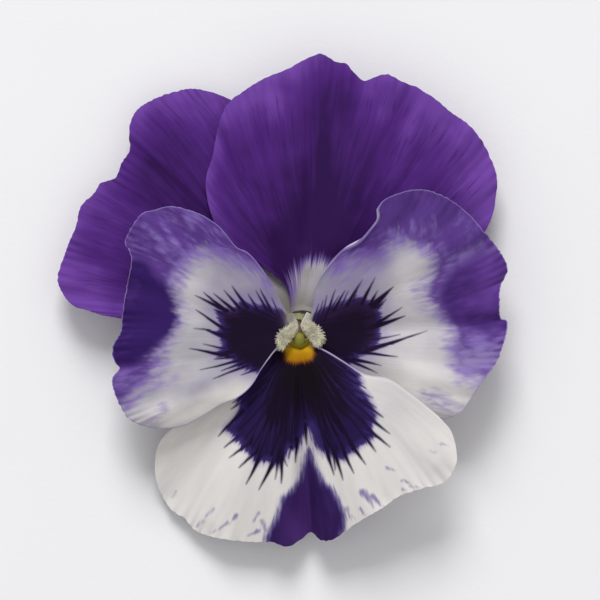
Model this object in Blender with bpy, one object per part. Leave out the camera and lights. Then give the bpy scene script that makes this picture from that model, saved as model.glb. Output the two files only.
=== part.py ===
"""A pansy bloom, cut short and lying face up on its back.

Each petal, sepal, stamen and tuft of hairs is an object of its own, round a receptacle at the end of
a short stalk. +Z comes out of the face, +Y is the top of the bloom, and the origin lies on the
surface under the middle of it.
"""

import math

import bpy
import numpy as np

MM = 0.001

# Driving dimensions in millimetres
BLADE = 0.62
SEAT_GAP = 0.3
RECEPTACLE = np.array([2.3, -1.7, 6.2])
CLAW_START = 2.3
CLAW_HALF_WIDTH = 0.7
CLAW_HEIGHT = RECEPTACLE[2] + SEAT_GAP + 0.3
SPUR_MOUTH = np.array([2.3, -5.95, 8.3])
SPUR_TILT = math.radians(30)
SPUR_WALL = 0.6

# How finely each petal is divided: along its margin, from throat to margin, and down its claw.
# ROW_CROWDING above 1 draws the rows together at the throat.
COLUMNS = 44
ROWS = 9
ROW_CROWDING = 1.25
CLAW_ROWS = 2
SIDE_STEPS = 97
SHARP_ANGLE = math.radians(50)

# Petals. throat, left, margin and right are the outline of the blade as (x, y, height): left and
# right run out from the throat, the other two from left to right. azimuth, in degrees, is where the
# claw leaves the receptacle. arch lifts the middle, and ruffles are (waves, height, phase).
PETALS = {
    "petal_upper_left": {
        "azimuth": 132,
        "throat": [(-0.9, 0.2, 6.6), (0.8, 1.7, 6.6)],
        "left": [(-2.4, -1.9, 5.6), (-7.5, -2.6, 5.1), (-13.2, -3, 5), (-18.1, -3, 5.1)],
        "margin": [
            (-23.2, -2.6, 5.4), (-25.9, -2.1, 5.7), (-27.9, -1.4, 5.6), (-29.6, -0.9, 5.2),
            (-31.1, 0.6, 4.6), (-32, 2.8, 4), (-31.5, 5, 3.8), (-30.5, 7.8, 3.7),
            (-29.4, 10.4, 3.7), (-28.7, 13.2, 3.7), (-26.7, 15.2, 3.8), (-25.9, 16.5, 3.8),
            (-23.8, 17.3, 3.8), (-22.9, 19.4, 3.8), (-21.8, 21.1, 3.7), (-21.8, 22.8, 3.7),
            (-21.8, 24.7, 3.6), (-20.8, 26.8, 3.4), (-18.8, 28.2, 3.2), (-16, 29.3, 3),
            (-12.9, 29.9, 2.9), (-9.9, 29.3, 2.9), (-7.2, 28.2, 3), (-4.9, 26.7, 3.2),
        ],
        "right": [(1.1, 3.9, 6.4), (0.6, 10.5, 5.6), (-0.6, 16.9, 4.8), (-2.4, 22.6, 4)],
        "arch": 0.2,
        "ruffles": (9, 0.25, 0.4),
        "colour": (0.085, 0.022, 0.21),
    },
    "petal_upper_right": {
        "azimuth": 75,
        "throat": [(1.7, 1.35, 7.9), (4.05, 1.75, 7.9)],
        "left": [(1, 1.7, 8), (-1, 3.3, 8), (-3.5, 5.3, 7.6), (-6.6, 7.7, 7)],
        "margin": [
            (-9.8, 11, 6.4), (-10.7, 14.1, 6), (-10.9, 17.2, 5.6), (-10, 20.4, 5.2),
            (-9.3, 24, 5), (-8.1, 27.4, 5), (-5.7, 29.5, 5.2), (-2.5, 31.4, 5.6),
            (0.7, 32.7, 5.6), (3.3, 34.2, 5.2), (5.5, 35, 5), (7.4, 33.7, 5.2), (9, 33.4, 5.5),
            (10, 32.2, 5.7), (11.5, 31, 5.9), (13, 31.5, 6.1), (14.8, 31.9, 6.2),
            (16.8, 30.9, 6.2), (19.1, 30, 6), (21.5, 28.5, 5.8), (23.6, 26.7, 5.5),
            (26.3, 24.8, 5.2), (28.1, 22.6, 4.9), (29.4, 20.1, 4.7), (30.3, 17.2, 4.5),
            (30.1, 14.2, 4.4), (29.6, 11.7, 4.5), (28.1, 8.8, 4.8), (26.4, 6.4, 5),
        ],
        "right": [(6.6, -0.4, 8.2), (12.3, 0.8, 7.6), (18, 2.3, 6.8), (22.6, 4.2, 6)],
        "arch": 0.5,
        "ruffles": (11, 0.3, 0.0),
        "colour": (0.075, 0.018, 0.19),
    },
    "petal_side_right": {
        "azimuth": 340,
        "throat": [(4.9, -5.4, 9), (4, -2.05, 9.8)],
        "left": [(6.6, -9.1, 8.5), (9.8, -11.9, 8), (14.3, -14.2, 7.5), (19.1, -15.9, 7.3)],
        "margin": [
            (23, -16.9, 7.4), (25.2, -15.9, 8), (26.7, -13.9, 8.4), (28.4, -11.4, 8.6),
            (30.3, -8.7, 8.4), (31.4, -5.7, 8), (31.8, -3.2, 7.7), (30.8, -2.5, 7.6),
            (30.7, -0.4, 7.6), (30.8, 1.9, 7.7), (31.8, 4.3, 7.9), (30.8, 6.7, 8.2),
            (28.6, 9.5, 8.6), (26.2, 12.2, 9), (23.6, 14.2, 9.4), (21.1, 15.3, 9.8),
            (18.8, 15.6, 10.1), (16.5, 15.1, 10.4), (14.3, 14.1, 10.8), (13.2, 12.7, 11.1),
        ],
        "right": [
            (4.8, 2.1, 10.2), (6.4, 4.7, 10.5), (8.2, 6.6, 10.7), (10.5, 7.8, 10.8),
            (12, 9.4, 10.9), (13.2, 11.1, 11),
        ],
        "arch": 0.2,
        "ruffles": (8, 0.25, 1.0),
        "colour": (0.5, 0.42, 0.62),
    },
    "petal_side_left": {
        "azimuth": 200,
        "throat": [(0.6, -2.05, 9.8), (-0.3, -6.4, 10.8)],
        "left": [
            (-0.8, 0.6, 10.6), (-2.5, 3.7, 11), (-4.7, 6.4, 11.2), (-6.6, 7.5, 11.1),
            (-9, 10.3, 10.8),
        ],
        "margin": [
            (-11.3, 11.9, 10.4), (-13.2, 12.6, 10.1), (-16, 13.2, 9.6), (-18.2, 12.7, 9.3),
            (-19.9, 12.2, 9.1), (-21.1, 10.8, 8.9), (-22.4, 8.3, 8.6), (-21.8, 6.9, 8.4),
            (-21.5, 5.3, 8.2), (-22.1, 2.1, 7.9), (-22.8, -2.2, 7.7), (-23, -4.5, 7.6),
            (-24.1, -6.6, 7.5), (-24, -8.6, 7.5), (-23.2, -9.8, 7.6), (-24.2, -11.2, 7.6),
            (-24, -12.9, 7.6), (-23, -15.2, 7.6), (-21.8, -16.9, 7.5), (-19.5, -17.9, 7.5),
            (-16.3, -18.2, 7.5), (-13.7, -17.7, 7.8),
        ],
        "right": [
            (-1.4, -7.6, 11), (-3, -9.8, 10.9), (-4.5, -12.2, 10.7), (-6.4, -13.8, 10.3),
            (-8.8, -14.8, 9.6), (-11.2, -16.3, 8.7),
        ],
        "arch": 0.2,
        "ruffles": (8, 0.25, 0.5),
        "colour": (0.5, 0.42, 0.62),
    },
    "petal_lower": {
        "azimuth": None,
        "throat": None,
        "left": [(-1.3, -8.1, 9.6), (-4.1, -10.5, 9.2), (-7.5, -12.9, 8.4), (-11.5, -15.3, 7)],
        "margin": [
            (-15.4, -18, 5.2), (-17.4, -20.1, 4.2), (-18.1, -22.4, 3.4), (-18.1, -25, 2.8),
            (-17.4, -27.4, 2.5), (-15.8, -29.9, 2.3), (-13.9, -31.1, 2.3), (-12.6, -32.7, 2.4),
            (-10.3, -33.6, 3.1), (-7.5, -34.1, 4.2), (-4.1, -34.4, 4.9), (-1.6, -34.4, 5.3),
            (0.6, -35, 5.6), (2.4, -34.1, 4.9), (4, -33, 4), (5.4, -34.1, 5.2), (7.1, -34, 6.5),
            (9, -32.7, 7.3), (11.7, -30.9, 8.5), (14.4, -29.3, 9.2), (16.5, -27.8, 9.3),
            (19.5, -26.8, 9.1), (22.2, -26.1, 9), (23.8, -24.8, 9), (24.6, -22.3, 9.2),
            (23.8, -18.7, 9.5), (21.9, -16.5, 9.6),
        ],
        "right": [
            (5.5, -6.9, 10.3), (8.5, -8.7, 10.4), (11.5, -10.5, 10.4), (14.7, -11.1, 10.2),
            (17.1, -12.7, 10), (19.5, -14.5, 9.8),
        ],
        "arch": 0.3,
        "ruffles": (9, 0.25, 0.2),
        "colour": (0.55, 0.5, 0.6),
    },
}

# Sepals: azimuth in degrees, and how far the blade's tip is lifted towards the petals. The profile
# is (distance from the receptacle's axis, height) from the rounded lobe at the base to the tip.
SEPALS = [(90, 0.0), (154, -2.5), (218, -2.5), (322, 1.0), (26, 0.3)]
SEPAL_PROFILE = [(3.2, 2.6), (2.85, 3.5), (2.85, 4.7), (3.6, 5.2), (6, 4.8), (9.5, 3.9), (13, 2.9)]
SEPAL_HALF_WIDTHS = [0.25, 1.0, 1.1, 1.3, 2.0, 1.7, 0.2]
SEPAL_ROWS = 11
SEPAL_COLUMNS = 5
SEPAL_FOLD = 0.25

# The stalk runs down from the receptacle and out along the surface: (distance out, height).
# Its underside is pressed flat where it touches.
STALK_DIRECTION = math.radians(54)
STALK_BEND = [(0, 6.2), (0, 4.0), (0.3, 2.3), (1.4, 1.2), (3.2, 0.95), (8, 0.95), (20, 0.95)]
STALK_PROFILE = [
    (0, 2.1), (0.02, 2.2), (0.05, 2.2), (0.07, 2.0), (0.09, 1.5), (0.115, 1), (0.14, 1), (0.17, 1),
    (0.2, 1), (0.24, 1), (0.28, 1), (0.34, 1), (0.5, 1), (0.75, 1), (1, 1),
]

# The spur's wall from its flat tip to its mouth, as (place along its path, outer radius)
SPUR_PROFILE = [(1, 0.9), (0.96, 1.25), (0.88, 1.4), (0.7, 1.5), (0.35, 1.6), (0, 1.7)]
SPUR_BEND = [(0, 0), (-0.65, -1.5), (-0.95, -3.8), (-0.85, -8.4)]
SPUR_MOUTH_ARC = (200, 340)

# The pistil's path, and its radius from ovary through style to stigma
PISTIL_PATH = [(2.3, -1.7, 6.5), (2.3, -1.7, 7.8), (2.3, -2.1, 9.1), (2.3, -3.6, 10.4), (2.3, -5.7, 11.3)]
PISTIL_RADII = [
    (0, 0.4), (0.08, 0.75), (0.2, 0.8), (0.32, 0.5), (0.42, 0.26), (0.66, 0.24), (0.76, 0.45),
    (0.86, 0.7), (0.95, 0.65), (1, 0.35),
]

# Stamens: the azimuths of the five, and each one's path as (distance from the axis, height above
# its foot). The two lower ones carry a nectar tail, whose path is (aside, forward, up) from there.
STAMEN_AZIMUTHS = (90, 162, 234, 306, 18)
STAMEN_BEND = [(1.38, 0), (1.38, 1.4), (1.03, 2.6)]
STAMEN_PROFILE = [(0, 0.25), (0.15, 0.5), (0.6, 0.55), (0.85, 0.35), (1, 0.12)]
STAMEN_FLATTENING = 0.5
TAIL_AZIMUTHS = (234, 306)
TAIL_BEND = [
    (0.78, -1.15, 1.4), (0.75, -1.9, 2.0), (0.62, -2.8, 2.2), (0.46, -3.85, 1.75),
    (0.4, -4.65, 0.2), (0.38, -5.05, -1.6),
]
TAIL_RADII = (0.22, 0.16)
TAIL_RINGS = 9

# Beards: the middle, length, width and turn of each tuft, and the height of its underside at the
# upper and at the lower end
BEARDS = {
    "beard_left": ((0.05, -4.9), 4.3, 2.4, -22, (10.65, 11.6)),
    "beard_right": ((4.4, -4.6), 3.5, 2.3, 22, (10.4, 9.95)),
}
BEARD_RINGS = 7
BEARD_SPOKES = 22
BEARD_EDGE = 0.3
BEARD_DOME = 0.55
KNOB_HEIGHT = 0.3
KNOB_WAVE = 4.2

BEARD_CREAM = (0.62, 0.58, 0.42)
SEPAL_GREEN = (0.13, 0.25, 0.05)
STALK_GREEN = (0.2, 0.34, 0.08)
STIGMA_GREEN = (0.42, 0.5, 0.16)
ANTHER_CREAM = (0.6, 0.5, 0.3)


def clear_scene():
    """Remove the objects the scene starts with."""
    for old in list(bpy.data.objects):
        bpy.data.objects.remove(old, do_unlink=True)


def smooth_line(points, count):
    """Return count points at even steps along a smooth curve through the given points."""
    p = np.array(points, float)
    if len(p) == 2:
        return p[0] + (p[1] - p[0]) * np.linspace(0, 1, count)[:, None]
    padded = np.vstack([2 * p[0] - p[1], p, 2 * p[-1] - p[-2]])
    a, b, c, d = (padded[i : i + len(p) - 1, None] for i in range(4))
    t = np.linspace(0, 1, 16, endpoint=False)[None, :, None]
    curve = b + 0.5 * t * (c - a + t * (2 * a - 5 * b + 4 * c - d + t * (3 * (b - c) + d - a)))
    curve = np.vstack([curve.reshape(-1, p.shape[1]), p[-1:]])
    steps = np.linalg.norm(np.diff(curve, axis=0), axis=1)
    along = np.concatenate([[0], np.cumsum(steps)])
    wanted = np.linspace(0, along[-1], count)
    return np.stack([np.interp(wanted, along, curve[:, i]) for i in range(p.shape[1])], axis=1)


def around(azimuth, radius, height):
    """Return the point at an azimuth and a distance from the receptacle's axis."""
    a = math.radians(azimuth)
    return np.array([RECEPTACLE[0] + radius * math.cos(a), RECEPTACLE[1] + radius * math.sin(a), height])


def closed_solid(vertices, triangles):
    """Return the mesh data with every face turned outward."""
    v = np.array(vertices, float)
    t = np.array(triangles, int)
    volume = np.einsum("ij,ij->i", v[t[:, 0]], np.cross(v[t[:, 1]], v[t[:, 2]])).sum()
    return v, t if volume > 0 else t[:, ::-1]


def add_object(name, solid, colour, roughness=0.6):
    """Add a solid given in millimetres as a smooth shaded object with its own material."""
    vertices, triangles = solid
    mesh = bpy.data.meshes.new(name)
    mesh.from_pydata((vertices * MM).tolist(), [], triangles.tolist())
    mesh.shade_smooth()
    mesh.set_sharp_from_angle(angle=SHARP_ANGLE)
    material = bpy.data.materials.new(name)
    material.use_nodes = True
    shader = material.node_tree.nodes["Principled BSDF"]
    shader.inputs["Base Color"].default_value = (*colour, 1)
    shader.inputs["Roughness"].default_value = roughness
    mesh.materials.append(material)
    thing = bpy.data.objects.new(name, mesh)
    bpy.context.scene.collection.objects.link(thing)
    return thing


def sheet_solid(grid, thickness):
    """Thicken a grid of points into a closed blade, both faces split into triangles alike."""
    across = np.gradient(grid, axis=0)
    along = np.gradient(grid, axis=1)
    normal = np.cross(across, along)
    normal /= np.linalg.norm(normal, axis=2, keepdims=True)
    m, n = grid.shape[:2]
    vertices = np.vstack([(grid + normal * thickness / 2).reshape(-1, 3),
                          (grid - normal * thickness / 2).reshape(-1, 3)])
    index = np.arange(m * n).reshape(m, n)
    a, b, c, d = index[:-1, :-1], index[1:, :-1], index[1:, 1:], index[:-1, 1:]
    face = np.vstack([np.stack([a, b, c], -1).reshape(-1, 3), np.stack([a, c, d], -1).reshape(-1, 3)])
    back = face[:, ::-1] + m * n
    loop = np.concatenate([index[:-1, 0], index[-1, :-1], index[:0:-1, -1], index[0, :0:-1]])
    following = np.roll(loop, -1)
    rim = np.vstack([np.stack([following, loop, loop + m * n], -1),
                     np.stack([following, loop + m * n, following + m * n], -1)])
    return closed_solid(vertices, np.vstack([face, back, rim]))


def frames_along(path, count=60):
    """Return points on a smooth path and two unit vectors square to it, carried along unturned."""
    line = smooth_line(path, count)
    tangent = np.gradient(line, axis=0)
    tangent /= np.linalg.norm(tangent, axis=1, keepdims=True)
    side = np.cross(tangent[0], (0.0, 1.0, 0.0) if abs(tangent[0][1]) < 0.9 else (1.0, 0.0, 0.0))
    sides = []
    for direction in tangent:
        side = side - direction * (side @ direction)
        side = side / np.linalg.norm(side)
        sides.append(side)
    sides = np.array(sides)
    return line, sides, np.cross(tangent, sides)


def tube_solid(path, profile, sides=10, squash=1.0):
    """Turn a profile of (place along the path, radius) round a smooth path, closed at both ends."""
    line, right, up = frames_along(path)
    steps = np.linspace(0, 1, len(line))
    angles = np.arange(sides) * 2 * math.pi / sides
    rings = []
    for place, radius in profile:
        centre, r, u = (np.array([np.interp(place, steps, v[:, i]) for i in range(3)])
                        for v in (line, right, up))
        rings.append(centre + radius * (np.cos(angles)[:, None] * r
                                        + squash * np.sin(angles)[:, None] * u))
    rings = np.array(rings)
    count = len(profile)
    vertices = np.vstack([rings.reshape(-1, 3), rings[0].mean(0), rings[-1].mean(0)])
    index = np.arange(count * sides).reshape(count, sides)
    beside = np.roll(index, -1, axis=1)
    a, b, c, d = index[:-1], beside[:-1], beside[1:], index[1:]
    start = np.full(sides, count * sides)
    faces = np.vstack([
        np.stack([a, b, c], -1).reshape(-1, 3),
        np.stack([a, c, d], -1).reshape(-1, 3),
        np.stack([beside[0], index[0], start], -1),
        np.stack([index[-1], beside[-1], start + 1], -1),
    ])
    return closed_solid(vertices, faces)


def join(keeper, piece):
    """Fuse one object into another and remove it."""
    union = keeper.modifiers.new("union", "BOOLEAN")
    union.operation = "UNION"
    union.solver = "EXACT"
    union.object = piece
    bpy.context.view_layer.update()
    fused = bpy.data.meshes.new_from_object(keeper.evaluated_get(bpy.context.evaluated_depsgraph_get()))
    keeper.modifiers.clear()
    keeper.data = fused
    bpy.data.objects.remove(piece, do_unlink=True)


def spur_mouth_arc(radius, count):
    """Return points on the front of the spur's mouth, from its left to its right."""
    turn = np.radians(np.linspace(*SPUR_MOUTH_ARC, count))[:, None]
    back = np.array([0, math.cos(SPUR_TILT), -math.sin(SPUR_TILT)])
    return SPUR_MOUTH + radius * (np.cos(turn) * np.array([1.0, 0, 0]) + np.sin(turn) * back)


def petal_grid(petal):
    """Fill a petal's outline with a grid: columns follow the margin, rows run out from the throat.

    The four sides of the outline are blended across the patch. The middle is arched up a little, and
    ruffles grow towards the margin.
    """
    columns = COLUMNS + 1
    if petal["throat"] is None:
        throat = spur_mouth_arc(SPUR_PROFILE[-1][1] - SPUR_WALL / 2, columns)
    else:
        throat = smooth_line(petal["throat"], columns)
    margin = smooth_line(petal["margin"], columns)
    left = smooth_line([throat[0], *petal["left"], margin[0]], SIDE_STEPS)
    right = smooth_line([throat[-1], *petal["right"], margin[-1]], SIDE_STEPS)
    v = (np.arange(ROWS + 1) / ROWS) ** ROW_CROWDING
    u = np.linspace(0, 1, columns)
    place = np.linspace(0, 1, SIDE_STEPS)
    left, right = (
        np.stack([np.interp(v, place, side[:, i]) for i in range(3)], 1) for side in (left, right)
    )
    uu, vv = u[:, None, None], v[None, :, None]
    grid = (1 - vv) * throat[:, None] + vv * margin[:, None]
    grid = grid + (1 - uu) * (left - ((1 - vv) * throat[0] + vv * margin[0]))
    grid = grid + uu * (right - ((1 - vv) * throat[-1] + vv * margin[-1]))
    count, size, phase = petal["ruffles"]
    arch = petal["arch"] * 16 * uu * (1 - uu) * vv * (1 - vv)
    ruffle = size * vv**4 * np.sin(2 * math.pi * (count * uu + phase)) * np.minimum(1, 8 * uu * (1 - uu))
    grid[:, :, 2:] += arch + ruffle
    if petal["azimuth"] is None:
        return grid
    middle = around(petal["azimuth"], CLAW_START, CLAW_HEIGHT)
    across = throat[-1] - throat[0]
    across[2] = 0
    across *= CLAW_HALF_WIDTH / np.linalg.norm(across)
    root = smooth_line([middle - across, middle + across], columns)
    steps = np.linspace(0, 1, CLAW_ROWS, endpoint=False)[None, :, None]
    claw = root[:, None] * (1 - steps) + throat[:, None] * steps
    return np.concatenate([claw, grid], axis=1)


def make_spur():
    """Make the hollow spur: a thin cup that opens at the throat and rests on a flat spot."""
    path = [SPUR_MOUTH + (0, forward, down) for forward, down in SPUR_BEND]
    floor = 0.9
    inner = [(place * floor, radius - SPUR_WALL) for place, radius in reversed(SPUR_PROFILE[1:])]
    vertices, triangles = tube_solid(path, SPUR_PROFILE + inner, sides=14)
    vertices[:, 2] = np.maximum(vertices[:, 2], 0)
    return add_object("spur", (vertices, triangles), PETALS["petal_lower"]["colour"])


def make_petals():
    """Make the five petals, the lower one with its spur."""
    for name, petal in PETALS.items():
        blade = add_object(name, sheet_solid(petal_grid(petal), BLADE), petal["colour"])
        if petal["azimuth"] is None:
            join(blade, make_spur())


def make_sepals():
    """Make the sepals: a pointed blade under the petals, with a rounded lobe at its base."""
    for number, (azimuth, lift) in enumerate(SEPALS, 1):
        profile = smooth_line(SEPAL_PROFILE, SEPAL_ROWS)
        reach = np.linspace(0, 1, SEPAL_ROWS)
        widths = np.interp(reach, np.linspace(0, 1, len(SEPAL_HALF_WIDTHS)), SEPAL_HALF_WIDTHS)
        height = profile[:, 1] + lift * np.clip((profile[:, 0] - 3) / 6, 0, 1)
        middle = np.array([around(azimuth, r, z) for r, z in zip(profile[:, 0], height)])
        a = math.radians(azimuth)
        across = np.array([-math.sin(a), math.cos(a), 0])
        t = np.linspace(-1, 1, SEPAL_COLUMNS)
        grid = middle[None] + t[:, None, None] * widths[None, :, None] * across
        grid[:, :, 2] -= SEPAL_FOLD * (t**2)[:, None] * widths[None] * (reach > 0.3)
        add_object(f"sepal_{number}", sheet_solid(grid, BLADE), SEPAL_GREEN)


def make_stalk():
    """Make the cut stalk, which lies along the surface and widens into the receptacle."""
    x, y = RECEPTACLE[:2]
    dx, dy = math.cos(STALK_DIRECTION), math.sin(STALK_DIRECTION)
    path = [(x + out * dx, y + out * dy, height) for out, height in STALK_BEND]
    vertices, triangles = tube_solid(path, STALK_PROFILE, sides=12)
    vertices[:, 2] = np.maximum(vertices[:, 2], 0)
    add_object("flower_stalk", (vertices, triangles), STALK_GREEN)


def make_pistil():
    """Make the pistil: ovary on the receptacle, bent style and round stigma."""
    add_object("pistil", tube_solid(PISTIL_PATH, PISTIL_RADII), STIGMA_GREEN)


def make_stamens():
    """Make five stamens close round the ovary; the lower two send a nectar tail into the spur."""
    x, y, z = RECEPTACLE
    foot = z + SEAT_GAP
    for number, azimuth in enumerate(STAMEN_AZIMUTHS, 1):
        path = [around(azimuth, out, foot + up) for out, up in STAMEN_BEND]
        anther = add_object(f"stamen_{number}", flat_tube(path, STAMEN_PROFILE, azimuth), ANTHER_CREAM)
        if azimuth in TAIL_AZIMUTHS:
            side = math.copysign(1, math.cos(math.radians(azimuth)))
            path = [(x + side * aside, y + forward, foot + up) for aside, forward, up in TAIL_BEND]
            profile = list(zip(np.linspace(0, 1, TAIL_RINGS), np.linspace(*TAIL_RADII, TAIL_RINGS)))
            join(anther, add_object("tail", tube_solid(path, profile, sides=8), ANTHER_CREAM))


def flat_tube(path, profile, azimuth):
    """Return a tube flattened towards the receptacle's axis."""
    vertices, triangles = tube_solid(path, profile, sides=8)
    a = math.radians(azimuth)
    outward = np.array([math.cos(a), math.sin(a), 0])
    line = smooth_line(path, 60)
    middle = np.stack([np.interp(vertices[:, 2], line[:, 2], line[:, i]) for i in range(3)], axis=1)
    depth = (vertices - middle) @ outward
    return vertices - STAMEN_FLATTENING * depth[:, None] * outward, triangles


def make_beards():
    """Make each beard as a tuft whose top is raised into club shaped hair tips by a formula."""
    rings, spokes = BEARD_RINGS, BEARD_SPOKES
    for name, (middle, length, width, turn, heights) in BEARDS.items():
        r = np.linspace(0, 1, rings + 1)[1:]
        spoke = np.arange(spokes) * 2 * math.pi / spokes
        s = np.concatenate([[0], (r[:, None] * np.sin(spoke)).ravel()])
        t = np.concatenate([[0], (r[:, None] * np.cos(spoke)).ravel()])
        a = math.radians(turn)
        x = middle[0] + t * width / 2 * math.cos(a) - s * length / 2 * math.sin(a)
        y = middle[1] + t * width / 2 * math.sin(a) + s * length / 2 * math.cos(a)
        under = np.interp(s, (-1, 1), (heights[1], heights[0]))
        knobs = 0.5 + 0.5 * np.sin(s * length * KNOB_WAVE) * np.sin(t * width * KNOB_WAVE)
        dome = np.sqrt(np.maximum(0, 1 - s**2 - t**2))
        rise = BEARD_EDGE + dome * (BEARD_DOME + KNOB_HEIGHT * knobs)
        top = np.stack([x, y, under + rise], 1)
        bottom = np.stack([x, y, under], 1)
        index = 1 + np.arange(rings * spokes).reshape(rings, spokes)
        beside = np.roll(index, -1, axis=1)
        p, q, u, w = index[:-1], beside[:-1], beside[1:], index[1:]
        face = np.vstack([
            np.stack([np.zeros(spokes, int), index[0], beside[0]], -1),
            np.stack([p, w, u], -1).reshape(-1, 3),
            np.stack([p, u, q], -1).reshape(-1, 3),
        ])
        count = len(top)
        loop, following = index[-1], beside[-1]
        rim = np.vstack([np.stack([following, loop, loop + count], -1),
                         np.stack([following, loop + count, following + count], -1)])
        solid = closed_solid(np.vstack([top, bottom]), np.vstack([face, face[:, ::-1] + count, rim]))
        add_object(name, solid, BEARD_CREAM)


def main():
    clear_scene()
    make_petals()
    make_sepals()
    make_stalk()
    make_pistil()
    make_stamens()
    make_beards()


main()
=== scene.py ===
import math

import bpy
import numpy as np
from bpy.props import FloatProperty, FloatVectorProperty, IntProperty, PointerProperty
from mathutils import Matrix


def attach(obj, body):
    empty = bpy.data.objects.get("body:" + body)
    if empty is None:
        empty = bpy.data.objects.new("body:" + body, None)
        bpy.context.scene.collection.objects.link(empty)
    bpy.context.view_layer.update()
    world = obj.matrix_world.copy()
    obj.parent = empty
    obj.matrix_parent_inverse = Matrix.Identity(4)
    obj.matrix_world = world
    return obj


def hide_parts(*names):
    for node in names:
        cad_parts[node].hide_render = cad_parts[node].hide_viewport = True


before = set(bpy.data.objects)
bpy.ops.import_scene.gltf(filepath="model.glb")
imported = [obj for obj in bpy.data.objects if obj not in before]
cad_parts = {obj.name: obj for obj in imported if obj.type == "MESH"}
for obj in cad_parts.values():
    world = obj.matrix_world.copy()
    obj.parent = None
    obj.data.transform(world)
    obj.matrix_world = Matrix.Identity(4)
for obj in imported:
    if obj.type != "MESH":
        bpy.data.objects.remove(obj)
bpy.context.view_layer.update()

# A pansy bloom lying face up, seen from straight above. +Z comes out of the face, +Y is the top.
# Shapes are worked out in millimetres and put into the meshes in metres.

bl_info = {
    "name": "Pansy bloom",
    "version": (1, 0, 0),
    "blender": (4, 5, 0),
    "location": "3D View > Sidebar > Pansy",
    "description": "Builds the petals, beards and centre of a purple and white pansy round its CAD frame",
    "category": "Add Mesh",
}

MM = 0.001
ROOT = "root"

# The receptacle's top, the claws that stand on it and the spur's mouth, as in the CAD frame
RECEPTACLE = np.array([2.3, -1.7, 6.2])
CLAW_START = 2.3
CLAW_HALF_WIDTH = 0.7
CLAW_HEIGHT = 6.8
CLAW_THICKNESS = 0.4
SPUR_MOUTH = np.array([2.3, -5.95, 8.3])
SPUR_MOUTH_RADIUS = 1.4
SPUR_MOUTH_ARC = (200, 340)
SPUR_TILT = math.radians(30)

# Divisions of the meshes and curves that the settings don't reach
CURVE_STEPS = 16
PATH_STEPS = 160
OUTLINE_STEPS = 6
CLAW_COLUMNS = 17
CLAW_ROWS = 13
LIP_ROWS = 8
PART_SIZE = 3000
TINY = 1e-9
SHARP_ANGLE = math.radians(50)

# How far below 0 a petal's v starts, at the inner end of its lip
LIP_DEPTH = 0.08

# Uneven waves along the margins, as (waves, sway, waves of the sway): the frill's height, its notches,
# which fade and turn over in groups, and their fine notches
FRILL_WAVE = (31, 5, 3.7)
NOTCH_WAVE = (37, 6, 5.3)
NOTCH_GROUPS = 2.6
FINE_NOTCH_WAVE = (61, 4, 7.1)

# Parts of the frill's height: depth of the notches, of the fine ones, and how far all of them lie in.
# The last rows by the margin show which way is out.
NOTCH_DEPTHS = (0.5, 0.3, 0.8)
MARGIN_ROWS = 8

# The power of 1 - v by which a blade thins from the throat to the margin
BLADE_TAPER = 1.5

# What the points of a claw or spur hold: a value off every marking, and these in place of 0
OUTSIDE = -9.0
BASE_VALUES = {"along": -0.1, "edge": 5.0}

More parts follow.
